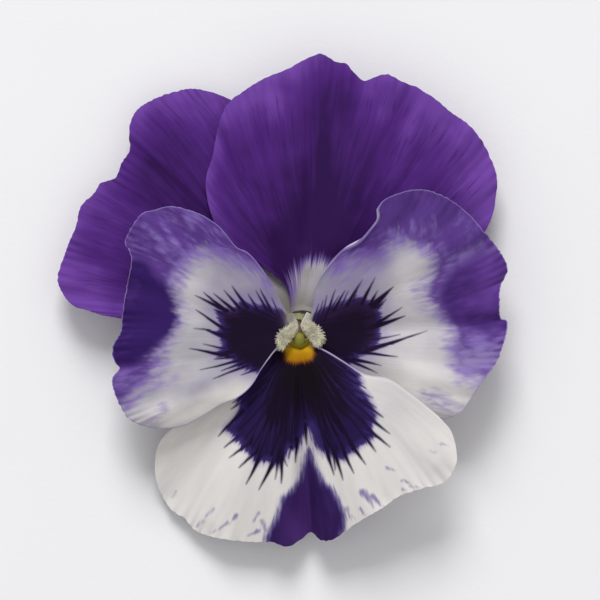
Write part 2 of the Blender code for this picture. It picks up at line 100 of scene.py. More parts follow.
# Outline of each petal's blade as (x, y, height): left and right run out from the throat, the other
# two from left to right. azimuth is where the claw leaves the receptacle, arch lifts the middle,
# ruffles are (waves, height, phase). folds are soft ridges as (x, y, x, y, reach, height), and
# fineness multiplies the divisions along the margin and out from the throat.
PETALS = {
    "petal_upper_left": {
        "azimuth": 132,
        "claw": [(-0.9, 0.2, 6.6), (0.8, 1.7, 6.6)],
        "throat": [(-1.5, -1.6, 7), (0.1, -1.9, 7.5), (1.5, -1.6, 8)],
        "lip": [(-1.3, -2.2, 7.1), (0.2, -2.5, 7.7), (1.5, -2.1, 8.2)],
        "left": [(-3.4, -2.3, 5.8), (-7.5, -2.6, 5.1), (-13.2, -3, 5), (-18.1, -3, 5.1)],
        "margin": [
            (-23.2, -2.6, 5.4), (-25.9, -2.1, 5.7), (-27.9, -1.4, 5.6), (-29.6, -0.9, 5.2),
            (-31.1, 0.6, 4.6), (-32, 2.8, 4), (-31.5, 5, 3.8), (-30.5, 7.8, 3.7), (-29.4, 10.4, 3.7),
            (-28.7, 13.2, 3.7), (-26.7, 15.2, 3.8), (-25.9, 16.5, 3.8), (-23.8, 17.3, 3.8),
            (-22.9, 19.4, 3.8), (-21.8, 21.1, 3.7), (-21.8, 22.8, 3.7), (-21.8, 24.7, 3.6),
            (-20.8, 26.8, 3.4), (-18.8, 28.2, 3.2), (-16, 29.3, 3), (-12.9, 29.9, 2.9),
            (-9.9, 29.3, 2.9), (-7.2, 28.2, 3), (-4.9, 26.7, 3.2),
        ],
        "right": [(1.8, 0.8, 7.8), (1.4, 3.9, 7), (0.6, 10.5, 5.7), (-0.6, 16.9, 4.8), (-2.4, 22.6, 4)],
        "arch": 0.2,
        "ruffles": (9, 0.25, 0.4),
        "folds": [(-8, 4, -26, 4, 1.6, 0.4), (-7, 8, -25, 14, 1.6, -0.3), (-6, 12, -18, 26, 1.8, 0.35)],
        "fineness": (0.9, 0.85),
    },
    "petal_upper_right": {
        "azimuth": 75,
        "claw": [(1.7, 1.35, 7.9), (4.05, 1.75, 7.9)],
        "throat": [(1.25, -1.2, 8.7), (2, -1, 9.3), (3.1, -0.95, 9.3), (5.1, -1.3, 8.6)],
        "lip": [(1.3, -1.9, 8.9), (2, -1.65, 9.6), (3.1, -1.6, 9.6), (4.6, -2, 8.9)],
        "left": [(1, 0.6, 8.5), (0.2, 2.3, 8.3), (-1, 3.3, 8.1), (-3.5, 5.3, 7.6), (-6.6, 7.7, 7)],
        "margin": [
            (-9.8, 11, 6.4), (-10.7, 14.1, 6), (-10.9, 17.2, 5.6), (-10, 20.4, 5.2), (-9.3, 24, 5),
            (-8.1, 27.4, 5), (-5.7, 29.5, 5.2), (-2.5, 31.4, 5.6), (0.7, 32.7, 5.6), (3.3, 34.15, 5.2),
            (5.5, 34.85, 5), (7.4, 33.7, 5.2), (9, 33.4, 5.5), (10, 32.2, 5.7), (11.5, 31, 5.9),
            (13, 31.5, 6.1), (14.8, 31.9, 6.2), (16.8, 30.9, 6.2), (19.1, 30, 6), (21.5, 28.5, 5.8),
            (23.6, 26.7, 5.5), (26.3, 24.8, 5.2), (28.1, 22.6, 4.9), (29.4, 20.1, 4.7),
            (30.3, 17.2, 4.5), (30.1, 14.2, 4.4), (29.6, 11.7, 4.5), (28.1, 8.8, 4.8), (26.4, 6.4, 5),
        ],
        "right": [(7.4, -1.3, 8.3), (12.3, 0.6, 7.6), (18, 2.3, 6.8), (22.6, 4.2, 6)],
        "arch": 0.5,
        "ruffles": (11, 0.3, 0),
        "folds": [
            (3, 8, 6, 33, 1.3, -0.5), (1, 8, -1, 30, 2, 0.3), (8, 8, 15, 30, 2, 0.35),
            (11, 8, 23, 24, 1.8, -0.3), (-2, 8, -8, 22, 1.8, -0.25),
        ],
        "fineness": (0.9, 0.85),
    },
    "petal_side_right": {
        "azimuth": 340,
        "throat": [(4.9, -5.4, 9), (4, -2.05, 9.8)],
        "lip": [
            (4.1, -6.1, 9.4), (3.3, -5.2, 10.2), (2.6, -4.3, 10.6), (2.6, -3.5, 10.6),
            (2.85, -2.9, 10.4), (3.35, -1.8, 10),
        ],
        "left": [(6.6, -9.1, 8.5), (9.8, -11.9, 8), (14.3, -14.2, 7.5), (19.1, -15.9, 7.3)],
        "margin": [
            (23, -16.9, 7.4), (25.2, -15.9, 8), (26.7, -13.9, 8.4), (28.4, -11.4, 8.6),
            (30.3, -8.7, 8.4), (31.4, -5.7, 8), (31.8, -3.2, 7.7), (30.8, -2.5, 7.6), (30.7, -0.4, 7.6),
            (30.8, 1.9, 7.7), (31.8, 4.3, 7.9), (30.8, 6.7, 8.2), (28.6, 9.5, 8.6), (26.2, 12.2, 9),
            (23.6, 14.2, 9.4), (21.1, 15.3, 9.8), (18.8, 15.6, 10.1), (16.5, 15.1, 10.4),
            (14.3, 14.1, 10.8), (13.2, 12.7, 11.1),
        ],
        "right": [
            (4.8, 2.1, 10.2), (6.4, 4.7, 10.5), (8.2, 6.6, 10.7), (10.5, 7.8, 10.8), (12, 9.4, 10.9),
            (13.2, 11.1, 11),
        ],
        "arch": 0.2,
        "ruffles": (8, 0.25, 1),
        "folds": [
            (14, -4, 31, -3, 1.5, -0.5), (14, -8, 27, -13, 1.8, 0.4), (12, 2, 27, 9, 1.8, 0.35),
            (12, 4, 20, 14, 1.4, -0.25),
        ],
        "fineness": (1, 1),
    },
    "petal_side_left": {
        "azimuth": 200,
        "throat": [(0.6, -2.05, 9.8), (-0.3, -6.4, 10.8)],
        "lip": [
            (1.25, -1.85, 10), (1.7, -2.6, 10.3), (2.1, -3.4, 10.6), (2.15, -4.3, 10.7),
            (1.6, -5.2, 10.6), (0.6, -6.4, 10.6),
        ],
        "left": [
            (-0.8, 0.6, 10.6), (-2.5, 3.7, 11), (-4.7, 6.4, 11.2), (-6.6, 7.5, 11.1), (-9, 10.3, 10.8),
        ],
        "margin": [
            (-11.3, 11.9, 10.4), (-13.2, 12.6, 10.1), (-16, 13.2, 9.6), (-18.2, 12.7, 9.3),
            (-19.9, 12.2, 9.1), (-21.1, 10.8, 8.9), (-22.4, 8.3, 8.6), (-21.8, 6.9, 8.4),
            (-21.5, 5.3, 8.2), (-22.1, 2.1, 7.9), (-22.8, -2.2, 7.7), (-23, -4.5, 7.6),
            (-24.1, -6.6, 7.5), (-24, -8.6, 7.5), (-23.2, -9.8, 7.6), (-24.2, -11.2, 7.6),
            (-24, -12.9, 7.6), (-23, -15.2, 7.6), (-21.8, -16.9, 7.5), (-19.5, -17.9, 7.5),
            (-16.3, -18.2, 7.5), (-13.7, -17.7, 7.8),
        ],
        "right": [
            (-1.4, -7.6, 11), (-3, -9.8, 10.9), (-4.5, -12.2, 10.7), (-6.4, -13.8, 10.3),
            (-8.8, -14.8, 9.6), (-11.2, -16.3, 8.7),
        ],
        "arch": 0.2,
        "ruffles": (8, 0.25, 0.5),
        "folds": [
            (-10, -9, -23, -12, 1.6, -0.4), (-8, -12, -18, -17, 1.8, 0.45), (-10, 0, -22, 4, 1.8, 0.4),
            (-8, 3, -17, 12, 1.5, -0.3), (-12, -4, -23, -5, 1.5, 0.3),
        ],
        "fineness": (1, 1),
    },
    "petal_lower": {
        "lip": [(0.7, -5.3, 9.8), (1.6, -5.7, 10), (2.3, -5.8, 10), (3, -5.7, 10), (3.9, -5.3, 9.8)],
        "left": [(-2.2, -7.6, 9.4), (-5.2, -9.9, 9), (-8.4, -12.6, 8.2), (-11.8, -15.1, 7)],
        "margin": [
            (-15.4, -18, 5.2), (-17.4, -20.1, 4.2), (-18.1, -22.4, 3.1), (-18.1, -25, 2.3),
            (-17.4, -27.4, 1.9), (-15.8, -29.9, 1.7), (-13.9, -31.1, 1.8), (-12.6, -32.7, 2.1),
            (-10.3, -33.6, 3), (-7.5, -34.1, 3.8), (-4.1, -34.4, 4.2), (-1.6, -34.4, 4.4),
            (0.6, -35, 4.5), (2.4, -34.1, 3.9), (4, -33, 3.4), (5.4, -34.1, 4.3), (7.1, -34, 5.6),
            (9, -32.7, 6.6), (11.7, -30.9, 8), (14.4, -29.3, 9.2), (16.5, -27.8, 9.3),
            (19.5, -26.8, 9.1), (22.2, -26.1, 9), (23.8, -24.8, 9), (24.6, -22.3, 9.2),
            (23.8, -18.7, 9.5), (21.9, -16.5, 9.6),
        ],
        "right": [
            (5.5, -6.9, 10.3), (8.5, -8.7, 10.4), (11.5, -10.5, 10.4), (14.7, -11.1, 10.2),
            (17.1, -12.7, 10), (19.5, -14.5, 9.8),
        ],
        "arch": 0.3,
        "ruffles": (9, 0.25, 0.2),
        "folds": [
            (1.3, -7.6, 3.4, -7.6, 1.7, 0.7), (2.4, -20, 3.8, -33, 1.3, -0.5),
            (-4, -20, -10, -31, 2, 0.35), (-9, -18, -15, -28, 1.6, -0.3),
            (10, -19, 14, -28, 1.8, -0.35), (14, -16, 21, -23, 1.8, 0.35),
        ],
        "fineness": (1.2, 1),
    },
}

# Outlines of the markings as (x, y), then strokes as (x, y of the root, x, y of the tip, width at
# the root). They are drawn on the blades straight from above.
OUTLINES = {
    "petal_upper_left": {
        "base": [
            (-4.7, 5.9), (-3, 5), (-1.6, 4.2), (-0.3, 3.5), (1, 2), (2.4, 0.8), (2.4, -3.6),
            (-1.8, -3.6), (-4.7, 1.3),
        ],
    },
    "petal_upper_right": {
        "base": [
            (0.8, -4.3), (1, -1.2), (1.3, -0.1), (1.6, 1.3), (1.7, 3.3), (2.3, 4.4), (3, 5.2), (4, 5.4),
            (5, 5.6), (6.1, 5.3), (7.1, 5), (8.2, 5), (9.5, 5.6), (11.4, 5.3), (12.6, 3.9),
            (12.6, -0.1), (8.1, -4.3),
        ],
    },
    "petal_side_left": {
        "blotch": [
            (-9.3, -1.4), (-8.3, -1.3), (-7.2, -1.3), (-6.5, -0.9), (-5.7, -0.3), (-4.7, -0.6),
            (-3.8, -0.7), (-3, -0.7), (-2.3, -0.8), (-1.4, -1.2), (-0.6, -1.4), (0.3, -2), (0.7, -2.8),
            (0.6, -3.6), (0.7, -4.6), (1.3, -5.7), (0.1, -8), (-1.6, -9.7), (-3.4, -10.4), (-4.7, -10),
            (-5.5, -9.7), (-6.4, -9.4), (-6.6, -9), (-6.9, -8.6), (-7.9, -8.3), (-9, -8.1),
            (-9.5, -7.6), (-9, -7), (-8.6, -6.6), (-8.8, -6), (-8.9, -5.3), (-9.2, -4.7), (-9, -4.2),
            (-8.8, -3.6), (-8.9, -3), (-9.3, -2.3), (-9.5, -1.8),
        ],
        "deep": [
            (-27, 6.2), (-21.9, 5.9), (-19.2, 5.3), (-17.5, 3), (-16.1, 1.3), (-15.4, -0.3),
            (-15, -2.6), (-15.3, -4), (-16.4, -5.2), (-17.8, -6.4), (-18.9, -7.4), (-19.8, -8.7),
            (-21.9, -9.7), (-27, -10.2),
        ],
        "pale": [
            (-27, 15.5), (-4.7, 15.5), (-1.8, 2.6), (-3.2, 3.9), (-4.7, 4.7), (-6.4, 5.6), (-8.3, 6.3),
            (-10.8, 6.9), (-13, 6.2), (-14.3, 4.9), (-15.4, 3.2), (-16.1, 1.3), (-15.1, -2.6),
            (-15.7, -4.6), (-18, -7.1), (-17.7, -9), (-18.1, -10.2), (-19.4, -11.8), (-20.8, -13.4),
            (-22.5, -14.9), (-27, -15.5),
        ],
    },
    "petal_side_right": {
        "blotch": [
            (4, -3.9), (4.1, -2.8), (4.4, -2), (5, -1.6), (5.7, -1.2), (6.5, -1), (7.3, -0.7),
            (8.2, -0.4), (9, -0.1), (9.9, 0.3), (10.8, 0.4), (11.7, 0.1), (12.3, -0.2), (13, -0.4),
            (13.8, -0.3), (13.9, -0.9), (13.6, -1.5), (13.7, -2), (13.9, -2.5), (13.7, -3),
            (13.5, -3.8), (13.6, -4.4), (13.7, -5.3), (13.6, -5.9), (13.2, -6.4), (12.6, -6.9),
            (12.3, -7.3), (11.3, -7.8), (10.5, -8.2), (9.9, -8.7), (9.2, -9.3), (7.3, -8.8),
            (5.2, -7.4), (3.7, -5.7), (3.8, -4.7),
        ],
        "deep": [
            (22.5, -0.9), (22.3, 0.8), (22.9, 2.2), (23.9, 3.5), (25.2, 4.7), (26.9, 5.9), (29, 6.7),
            (33.5, 6.2), (34.1, -5.2), (30.7, -4.3), (28.4, -4.6), (26.2, -4), (24.5, -3.6),
            (23.5, -2.3),
        ],
        "pale": [
            (6.6, 16.9), (33.5, 16.9), (34.9, -12.8), (29, -11.8), (27, -11.1), (25.3, -10.4),
            (24.3, -9.4), (23.9, -7.1), (24, -5.4), (23.6, -3.8), (21.8, -2), (20.4, -0.3), (20.1, 1.6),
            (20.6, 3.5), (21.2, 5.3), (20.4, 6.9), (18.4, 7.8), (16.8, 8.3), (15.4, 7.8), (14, 6.7),
            (12.2, 5.7), (10.3, 5), (8.9, 4.9), (6.9, 4.7),
        ],
    },
    "petal_lower": {
        "blotch": [
            (-3, -7.1), (-5, -9.4), (-5.5, -11.4), (-5.8, -12.5), (-6.1, -13.6), (-6.2, -14.6),
            (-6.1, -15.6), (-7.1, -17.2), (-7.8, -18.2), (-7.2, -19), (-6.4, -19.9), (-5.7, -20.8),
            (-4.8, -21.8), (-3.8, -22.8), (-3, -22.7), (-2.3, -22.8), (-1.6, -23), (-0.8, -23.1),
            (-0.3, -23), (0.3, -22.3), (0.8, -21.3), (1.7, -20.9), (2.3, -20.3), (2.7, -19.3),
            (3.2, -18.6), (3.7, -17.9), (4.1, -18.7), (4.5, -19.9), (5.2, -20.9), (6.1, -21.6),
            (6.9, -22), (7.6, -22.3), (8.3, -22.4), (9, -22), (9.8, -21.4), (10.6, -21), (11.4, -20.4),
            (12.2, -19.7), (12.7, -19.2), (12.4, -18.6), (12.7, -17.5), (12.9, -16.3), (12.4, -14.9),
            (11.6, -13.6), (10.8, -12.5), (11, -11.8), (10.5, -11.2), (10.7, -10.7), (9.9, -9.7),
            (10.6, -8.6), (8.3, -6.3), (5.5, -4.6), (2.4, -4), (-1, -4.9),
        ],
        "wedge": [
            (3.6, -21.3), (3.2, -22.7), (2.8, -24.2), (2.3, -25.8), (1.3, -26.9), (0.1, -28.1),
            (-0.4, -29.8), (-1.1, -31.5), (-1.8, -32.6), (-2.3, -34), (-1.6, -36.3), (7.8, -35.4),
            (8.2, -33.4), (8.6, -32.3), (8.6, -30.9), (8.1, -29.3), (7.5, -28.1), (6.8, -26.9),
            (5.8, -26), (5.1, -24.7), (4.5, -23.3), (4.1, -22),
        ],
        "eye": [
            (-0.1, -5.7), (0.1, -7.1), (0.3, -8.1), (0.7, -8.8), (1.6, -9), (2.5, -9), (3.2, -8.9),
            (4, -8.6), (4.4, -8), (4.5, -7), (4.5, -5.7), (3.7, -4.6), (2.4, -4), (1.1, -4.6),
        ],
    },
}

STROKES = {
    "petal_side_left": {
        "whisker": [
            (-7.9, -1.6, -12.4, 0.6, 0.65), (-8.1, -1.6, -11.2, 1, 0.65), (-6.9, -1.6, -9.8, 0.9, 0.55),
            (-6.1, -1.3, -8.3, 1.3, 0.55), (-5, -1.2, -7.2, 1.9, 0.65), (-3.7, -1.3, -4.9, 0.8, 0.45),
            (-2.3, -1.6, -3.8, 1.3, 0.45), (-1.6, -1.9, -3.2, 1.5, 0.5), (0.1, -3.9, -1.6, 0.2, 0.45),
            (-0.3, -3.8, -1.3, -1.2, 0.35), (0.8, -3.6, -0.3, -1.3, 0.4), (0.4, -4.2, -0.4, -2.3, 0.3),
            (-7.9, -4.4, -12.4, -1.4, 0.6), (-8.2, -5.2, -11.4, -4.1, 0.8),
            (-10.3, -4.3, -12.6, -4.1, 0.2), (-8.2, -6.9, -11.2, -6.3, 0.3),
            (-7.8, -7.9, -13.2, -6.9, 0.65), (-6.9, -8.1, -9.7, -8.4, 0.45),
            (-6.1, -8.6, -11.7, -10, 0.45), (-5.8, -9, -8.7, -10.1, 0.45),
            (-5, -9.3, -9.8, -11.2, 0.45), (-3.2, -9.5, -5.9, -10.7, 0.45), (-8.6, -2, -9.8, -1.3, 0.3),
        ],
        "fleck": [
            (-16.8, -15.5, -18.8, -17.2, 0.85), (-17.4, -16.2, -19.1, -17, 0.35),
            (-15.1, -11, -18.8, -12.9, 0.4), (-16.5, -11.7, -20.2, -13.6, 0.6),
            (-13.4, 5.3, -14.8, 4.7, 0.3),
        ],
    },
    "petal_side_right": {
        "whisker": [
            (4.2, -3, 5, -0.6, 0.3), (4.7, -3.2, 5.6, -0.1, 0.3), (5.2, -3.3, 6.2, 0.6, 0.4),
            (5.9, -2.8, 7.4, 1.4, 0.55), (6.6, -1.5, 7.9, 0.5, 0.3), (7.1, -1.6, 8.8, 1.3, 0.6),
            (8.2, -0.9, 9.3, 1.3, 0.3), (9, -0.8, 11.2, 2.8, 0.6), (9.9, -0.2, 10.6, 1.6, 0.3),
            (11.1, -0.6, 13, 3.1, 0.6), (12.2, -0.8, 13.4, 1.3, 0.6), (12.7, -0.9, 15.6, 1.9, 1.05),
            (13.3, -1.2, 14.6, 0.1, 0.4), (13.3, -3.3, 16.8, -1.1, 0.55), (12.3, -4, 17.3, -2.3, 1),
            (11.7, -7.3, 17.8, -5.3, 0.85), (15.4, -6.2, 20.4, -4.4, 0.35), (12.9, -5.7, 16.5, -5, 0.3),
            (10.5, -7.4, 16.2, -8.1, 0.6), (9.8, -8.4, 13.9, -9.3, 0.6), (8.8, -8.3, 13.4, -10.4, 0.55),
        ],
        "fleck": [
            (19.9, -13.2, 21.8, -14.5, 0.6), (21.1, -13.6, 24.5, -14.6, 1.5),
            (23, -14.6, 25.3, -15.1, 1), (21.4, -14.5, 23.6, -15.8, 1),
        ],
    },
    "petal_lower": {
        "whisker": [
            (-5, -14, -7.3, -15.5, 0.45), (-5.4, -13.6, -7.1, -14.6, 0.3),
            (-5.7, -15.8, -9.1, -19.3, 0.75), (-4.8, -18.2, -8.3, -20.9, 0.65),
            (-4.4, -20, -7.5, -22.4, 0.6), (-3.7, -21.4, -6.2, -23.8, 0.5),
            (-3, -21.7, -5.2, -26.1, 0.65), (-0.7, -21.7, -3.4, -26.9, 0.8),
            (-0.2, -20.4, -0.2, -26, 0.85), (-0.6, -22.1, -1.1, -25.4, 0.4),
            (0.1, -22.4, 0.6, -23.5, 0.3), (1.9, -19.6, 1.7, -23, 0.6), (1.1, -20.7, 0.8, -22.4, 0.3),
            (3.3, -17.6, 3.4, -20.5, 0.6), (6, -20.4, 7.2, -24.8, 0.75), (7.2, -21.6, 7.4, -24.1, 0.35),
            (7, -20.4, 8.5, -25.5, 0.75), (8.3, -20.9, 10, -24.5, 0.65), (9.3, -19.9, 11.7, -23.3, 0.7),
            (9.8, -21.1, 10.9, -22.1, 0.3), (10.8, -18.3, 13.1, -21.5, 0.75),
            (11, -17.5, 15.1, -20.8, 0.75), (11.4, -16.2, 15.1, -18.9, 0.7),
            (10.6, -14.1, 14.1, -16.6, 0.7), (11.4, -14.2, 13.2, -15.3, 0.35),
            (9.8, -12.7, 12.7, -13.9, 0.4), (9.5, -11.4, 11.7, -12.5, 0.4),
            (9.2, -10.1, 11, -11.3, 0.35), (11.7, -19, 13.6, -19.6, 0.35),
        ],
        "fleck": [
            (-15.1, -27.1, -15.7, -28.1, 0.3), (-9.8, -29.6, -10.9, -30.8, 0.55),
            (-6.6, -30.5, -7.1, -31.2, 0.45), (-7.8, -31.6, -10, -33, 0.35),
            (-3.4, -30.2, -4.1, -31.3, 0.35), (-3.5, -32.7, -5.1, -33.4, 0.4),
            (11.3, -27.2, 12.9, -29.5, 1), (12.6, -27.8, 14.4, -29.6, 0.85),
            (-3, -31.3, -2.1, -33.7, 0.6), (14.7, -23.7, 16, -24.2, 0.4),
            (16.8, -25.5, 18.2, -26.1, 0.55), (18, -26.4, 19.6, -26.6, 0.3),
            (17, -26.8, 17.8, -27.1, 0.35), (10.9, -29.5, 12, -30.8, 0.4),
            (8.9, -29.5, 9.8, -31.3, 0.6), (-11.3, -31.3, -12.2, -32.3, 0.25),
            (9.8, -30.5, 10.5, -31.3, 0.35), (22.3, -20.4, 23.6, -20.7, 0.3),
            (21.6, -21.6, 20.5, -21.3, 0.15),
        ],
    },
}

# Soft oval patches that a material reads by name, as (x, y, reach along x, reach along y, turn in
# degrees, amount). The shade patches are painted light and shade: lighter or darker where folds,
# tilts and overlapping petals change how the light falls on a blade.
PATCHES = {
    "petal_upper_left": {
        "shade": [
            (-19, 19, 5.5, 5, 0, -0.35), (-28, 3, 4, 3, 0, 0.07), (-27, 9, 3, 3, 0, -0.1),
            (-9, 14, 5, 10, 0, -0.1),
        ],
        # Painted shade on the pale base where it runs under the other petals into the throat
        "green": [(1, -1, 4, 4, 0, 1)],
    },
    "petal_upper_right": {
        "shade": [
            (-4, 9, 6, 5, 0, -0.35), (-7.5, 19, 3, 4, 0, -0.3), (6, 14, 2.6, 16, 4, -0.35),
            (4, 5, 8, 7, 0, -0.2), (8.5, 29, 2, 5, 0, -0.3), (0.2, 4.5, 2, 4, 0, -0.5),
            (2.5, 13, 3, 7, 0, -0.2), (-1.5, 28.5, 3.5, 1.8, 10, 0.18), (11, 20, 2.2, 8, 0, -0.15),
            (10.5, 29, 1.5, 4, 0, -0.12), (3.6, 20, 1.2, 4, 0, 0.2), (20, 20, 8, 8, 0, 0.12),
            (29, 14, 2.5, 4, 0, 0.2),
        ],
        # Painted shade on the pale base where it dips into the throat
        "green": [(2, -0.6, 2.4, 3.2, 0, 1), (3.3, 4, 1.8, 1.4, 0, 0.5)],
    },
    "petal_side_left": {
        "shade": [
            (-13, -10, 9, 9, 0, 0.27), (-9, -14.2, 5, 2.4, 20, 0.9), (-16, -16.5, 5, 2, -5, 0.5),
            (-12, 2.5, 3, 2.5, 0, 0.2), (-13.4, -0.5, 2.2, 4, 0, 0.22),
            (-10.5, -12.3, 4, 1.6, 30, -0.45),
        ],
        "tone": [
            (-19, 11, 7, 3, 30, 0.1), (-17, -3, 3, 5, 0, -0.6), (-21, -14, 3, 3, 0, 0.6),
            (-16.7, 7.7, 2, 1.4, 0, 0.9), (-20.2, 7, 1.5, 1.5, 0, -0.5), (-23, -10.7, 1.6, 1.6, 0, 0.6),
        ],
        # Where the pale rim, partly a painted highlight along the lit edge, is stronger
        "line": [(-1.5, -8.5, 3.5, 4, 0, 1)],
        "dusk": [(-8, -1.6, 3, 2, 0, 0.9), (0, -2, 1.6, 1.6, 0, 1.2)],
        "curl": [],
        "haze": [
            (-6, 5.2, 2.4, 2, 0, 0.3), (-4.5, 0.4, 3.5, 1.6, 0, 0.4), (-1.8, 0.3, 1.6, 1.8, 0, 0.3),
            (-10.3, 1.4, 2.5, 2, 0, 0.2),
        ],
        # Painted shade where the side petal's base meets the throat
        "dim": [(1.1, -2.2, 0.8, 1.7, 0, 1.2)],
        "olive": [(1.5, -5.8, 0.7, 1, 0, 1)],
        "upright": [],
    },
    "petal_side_right": {
        "shade": [
            (20, -6, 9, 8, 0, 0.38), (18, -12, 6, 3.5, 0, 0.6), (23.5, -14.5, 5, 2.5, 20, 0.5),
            (18.5, 3.5, 3.5, 4, 0, 0.4),
        ],
        "tone": [
            (9.5, 6, 4, 2, 30, 1), (30, 4, 3, 5, 0, 0.8), (29, -8, 4, 2.6, 0, 1.3),
            (26, -0.5, 5, 4, 0, 0.5), (19, 13, 9, 4, -15, -0.5), (25, 6.4, 3.5, 2, 0, 0.6),
            (14, 13.5, 3, 3, 0, -1.3), (26, -9, 2.2, 2.2, 0, 0.9), (23.3, 9, 2.3, 1.6, 0, -0.9),
            (20.5, 10.3, 1.5, 1.2, 0, 0.8), (15.8, 9.6, 1.5, 1.2, 0, 0.9), (12, 8, 1.6, 2, 0, -0.7),
            (26.5, 10.5, 2.5, 1.5, 0, 0.6),
        ],
        # Where the pale rim, partly a painted highlight along the lit edge, is weaker
        "line": [(3, 2, 5, 6, 40, -1.6)],
        "dusk": [(11, -2.5, 4.5, 4, 0, 1.3), (6.4, -3, 1.8, 1.8, 0, 1)],
        "haze": [
            (6, 0.5, 3.5, 1.6, 35, 0.25), (11.3, 2.8, 3.2, 2, 25, 0.6), (13.7, 5.8, 1.8, 1.6, 0, 0.75),
        ],
        "dim": [],
        "olive": [(3.5, -5.5, 0.7, 0.9, 0, 1)],
        "upright": [(18, 12.5, 10, 5, -10, 1.2)],
        # Widens the pale rim, partly a painted highlight, at the curled tip
        "curl": [(13.3, 11.8, 0.6, 1.1, 0, 1)],
    },
    "petal_lower": {
        "shade": [(16, -14, 6, 5, 0, -0.3), (20, -23, 4, 3, 0, -0.12), (3, -22.5, 1.6, 3, 0, -0.15)],
        "violet": [
            (-5.5, -17.5, 2.4, 4.5, -35, 1.7), (-2, -20.5, 2.2, 3.2, -12, 1.3),
            (10.5, -13.5, 2, 5, 35, 1.5), (11.2, -18.5, 2.6, 3, 30, 1.7),
            (-4.5, -12.5, 2, 4.5, -35, 1.6), (1.8, -18, 2, 3, 0, 1), (7, -20, 2, 2.5, 20, 1),
            (5, -17.5, 1.6, 2.5, 0, 0.9), (8.5, -7.8, 2.5, 1.2, -35, 1.2),
        ],
        "tone": [(2.4, -33, 2.2, 3, 0, 1), (2.9, -27.5, 1.2, 4, 0, 0.6)],
        "olive": [(2.3, -6.2, 1.9, 0.75, 0, 0.95), (3.5, -6.2, 1, 0.7, 0, 0.3)],
        # Painted light on the eye where the stigma and beards shade it
        "painted_light": [
            (2.3, -6.9, 2.2, 0.5, 0, 0.8), (0.9, -6.8, 1, 0.8, 0, 0.55), (3.9, -6.5, 0.9, 0.7, 0, 0.65),
        ],
    },
}

# How a stroke narrows, how far it sways and how often in radians for each mm, and how the lower
# petal's dark rays follow from its whiskers: how far they run in, as a part of the way to the eye, and
# their part of the width
STROKE_TAPER = 0.85
STROKE_SWAY = 0.03
SWAY_RATE = (1.6, 1.3)
RAY_LENGTH = 0.4
RAY_WIDTH = 0.5
EYE_CENTRE = (2.4, -7.5)

# Sepals: azimuth in degrees and lift of the tip, then where the lift starts and is full, the profile
# as (out, height), half widths at even steps, how far the margins fold down, the height of the ribs
# and the thickness
SEPALS = [(90, 0.0), (154, -2.5), (218, -2.5), (322, 1.0), (26, 0.3)]
SEPAL_LIFT_OUT = (3, 9)
SEPAL_PROFILE = [(3.2, 2.6), (2.85, 3.5), (2.85, 4.7), (3.6, 5.2), (6, 4.8), (9.5, 3.9), (13, 2.9)]
SEPAL_HALF_WIDTHS = [0.25, 1.0, 1.1, 1.3, 2.0, 1.7, 0.2]
SEPAL_FOLD = 0.25
SEPAL_RIB = 0.05
SEPAL_EDGE = 0.28
SEPAL_SWELL = 0.3
SEPAL_DIVISIONS = (60, 21)

# Turned pieces: a bend is the path, a profile is (place along the path, radius), and divisions are
# the numbers of rings and sides. The spur has outer and inner rings.
STALK_AZIMUTH = 54
STALK_BEND = [(0, 6.2), (0, 4.0), (0.3, 2.3), (1.4, 1.2), (3.2, 0.95), (8, 0.95), (20, 0.95)]
STALK_PROFILE = [
    (0, 2.1), (0.02, 2.2), (0.05, 2.2), (0.07, 2.0), (0.09, 1.5), (0.115, 1), (0.14, 1), (1, 1),
]
STALK_DIVISIONS = (90, 32)

SPUR_BEND = [(0, 0), (-0.65, -1.5), (-0.95, -3.8), (-0.85, -8.4)]
SPUR_PROFILE = [(0, 1.7), (0.35, 1.6), (0.7, 1.5), (0.88, 1.4), (0.96, 1.25), (1, 0.9)]
SPUR_WALL = 0.45
SPUR_FLOOR = 0.9
SPUR_DIVISIONS = (26, 22, 40)

PISTIL_PATH = [
    (2.3, -1.7, 6.5), (2.3, -1.75, 7.6), (2.3, -2.2, 8.7), (2.3, -3.1, 9.8), (2.3, -4.2, 10.3),
    (2.3, -5.2, 10.3), (2.3, -6.1, 9.7),
]
PISTIL_PROFILE = [
    (0, 0.4), (0.07, 0.75), (0.17, 0.8), (0.28, 0.5), (0.36, 0.26), (0.56, 0.26), (0.66, 0.4),
    (0.78, 0.62), (0.9, 0.85), (0.97, 0.85), (1, 0.6),
]
PISTIL_DIVISIONS = (80, 36)

STAMEN_AZIMUTHS = (90, 162, 234, 306, 18)
STAMEN_FOOT = 0.3
STAMEN_BEND = [(1.38, 0), (1.25, 1.2), (0.9, 2.1), (0.42, 3.1)]
STAMEN_LEAN = np.array([-0.05, -1.6, 0.4])
STAMEN_PROFILE = [(0, 0.25), (0.15, 0.5), (0.6, 0.55), (0.9, 0.52), (1, 0.3)]
STAMEN_DIVISIONS = (36, 24)
STAMEN_FLATTENING = 0.5
TAIL_AZIMUTHS = (234, 306)
TAIL_BEND = [
    (0.78, -1.15, 1.4), (0.75, -1.9, 2.0), (0.62, -2.8, 2.2), (0.46, -3.85, 1.75),
    (0.4, -4.65, 0.2), (0.38, -5.05, -1.6),
]
TAIL_PROFILE = [(0, 0.22), (1, 0.16)]
TAIL_DIVISIONS = (30, 14)

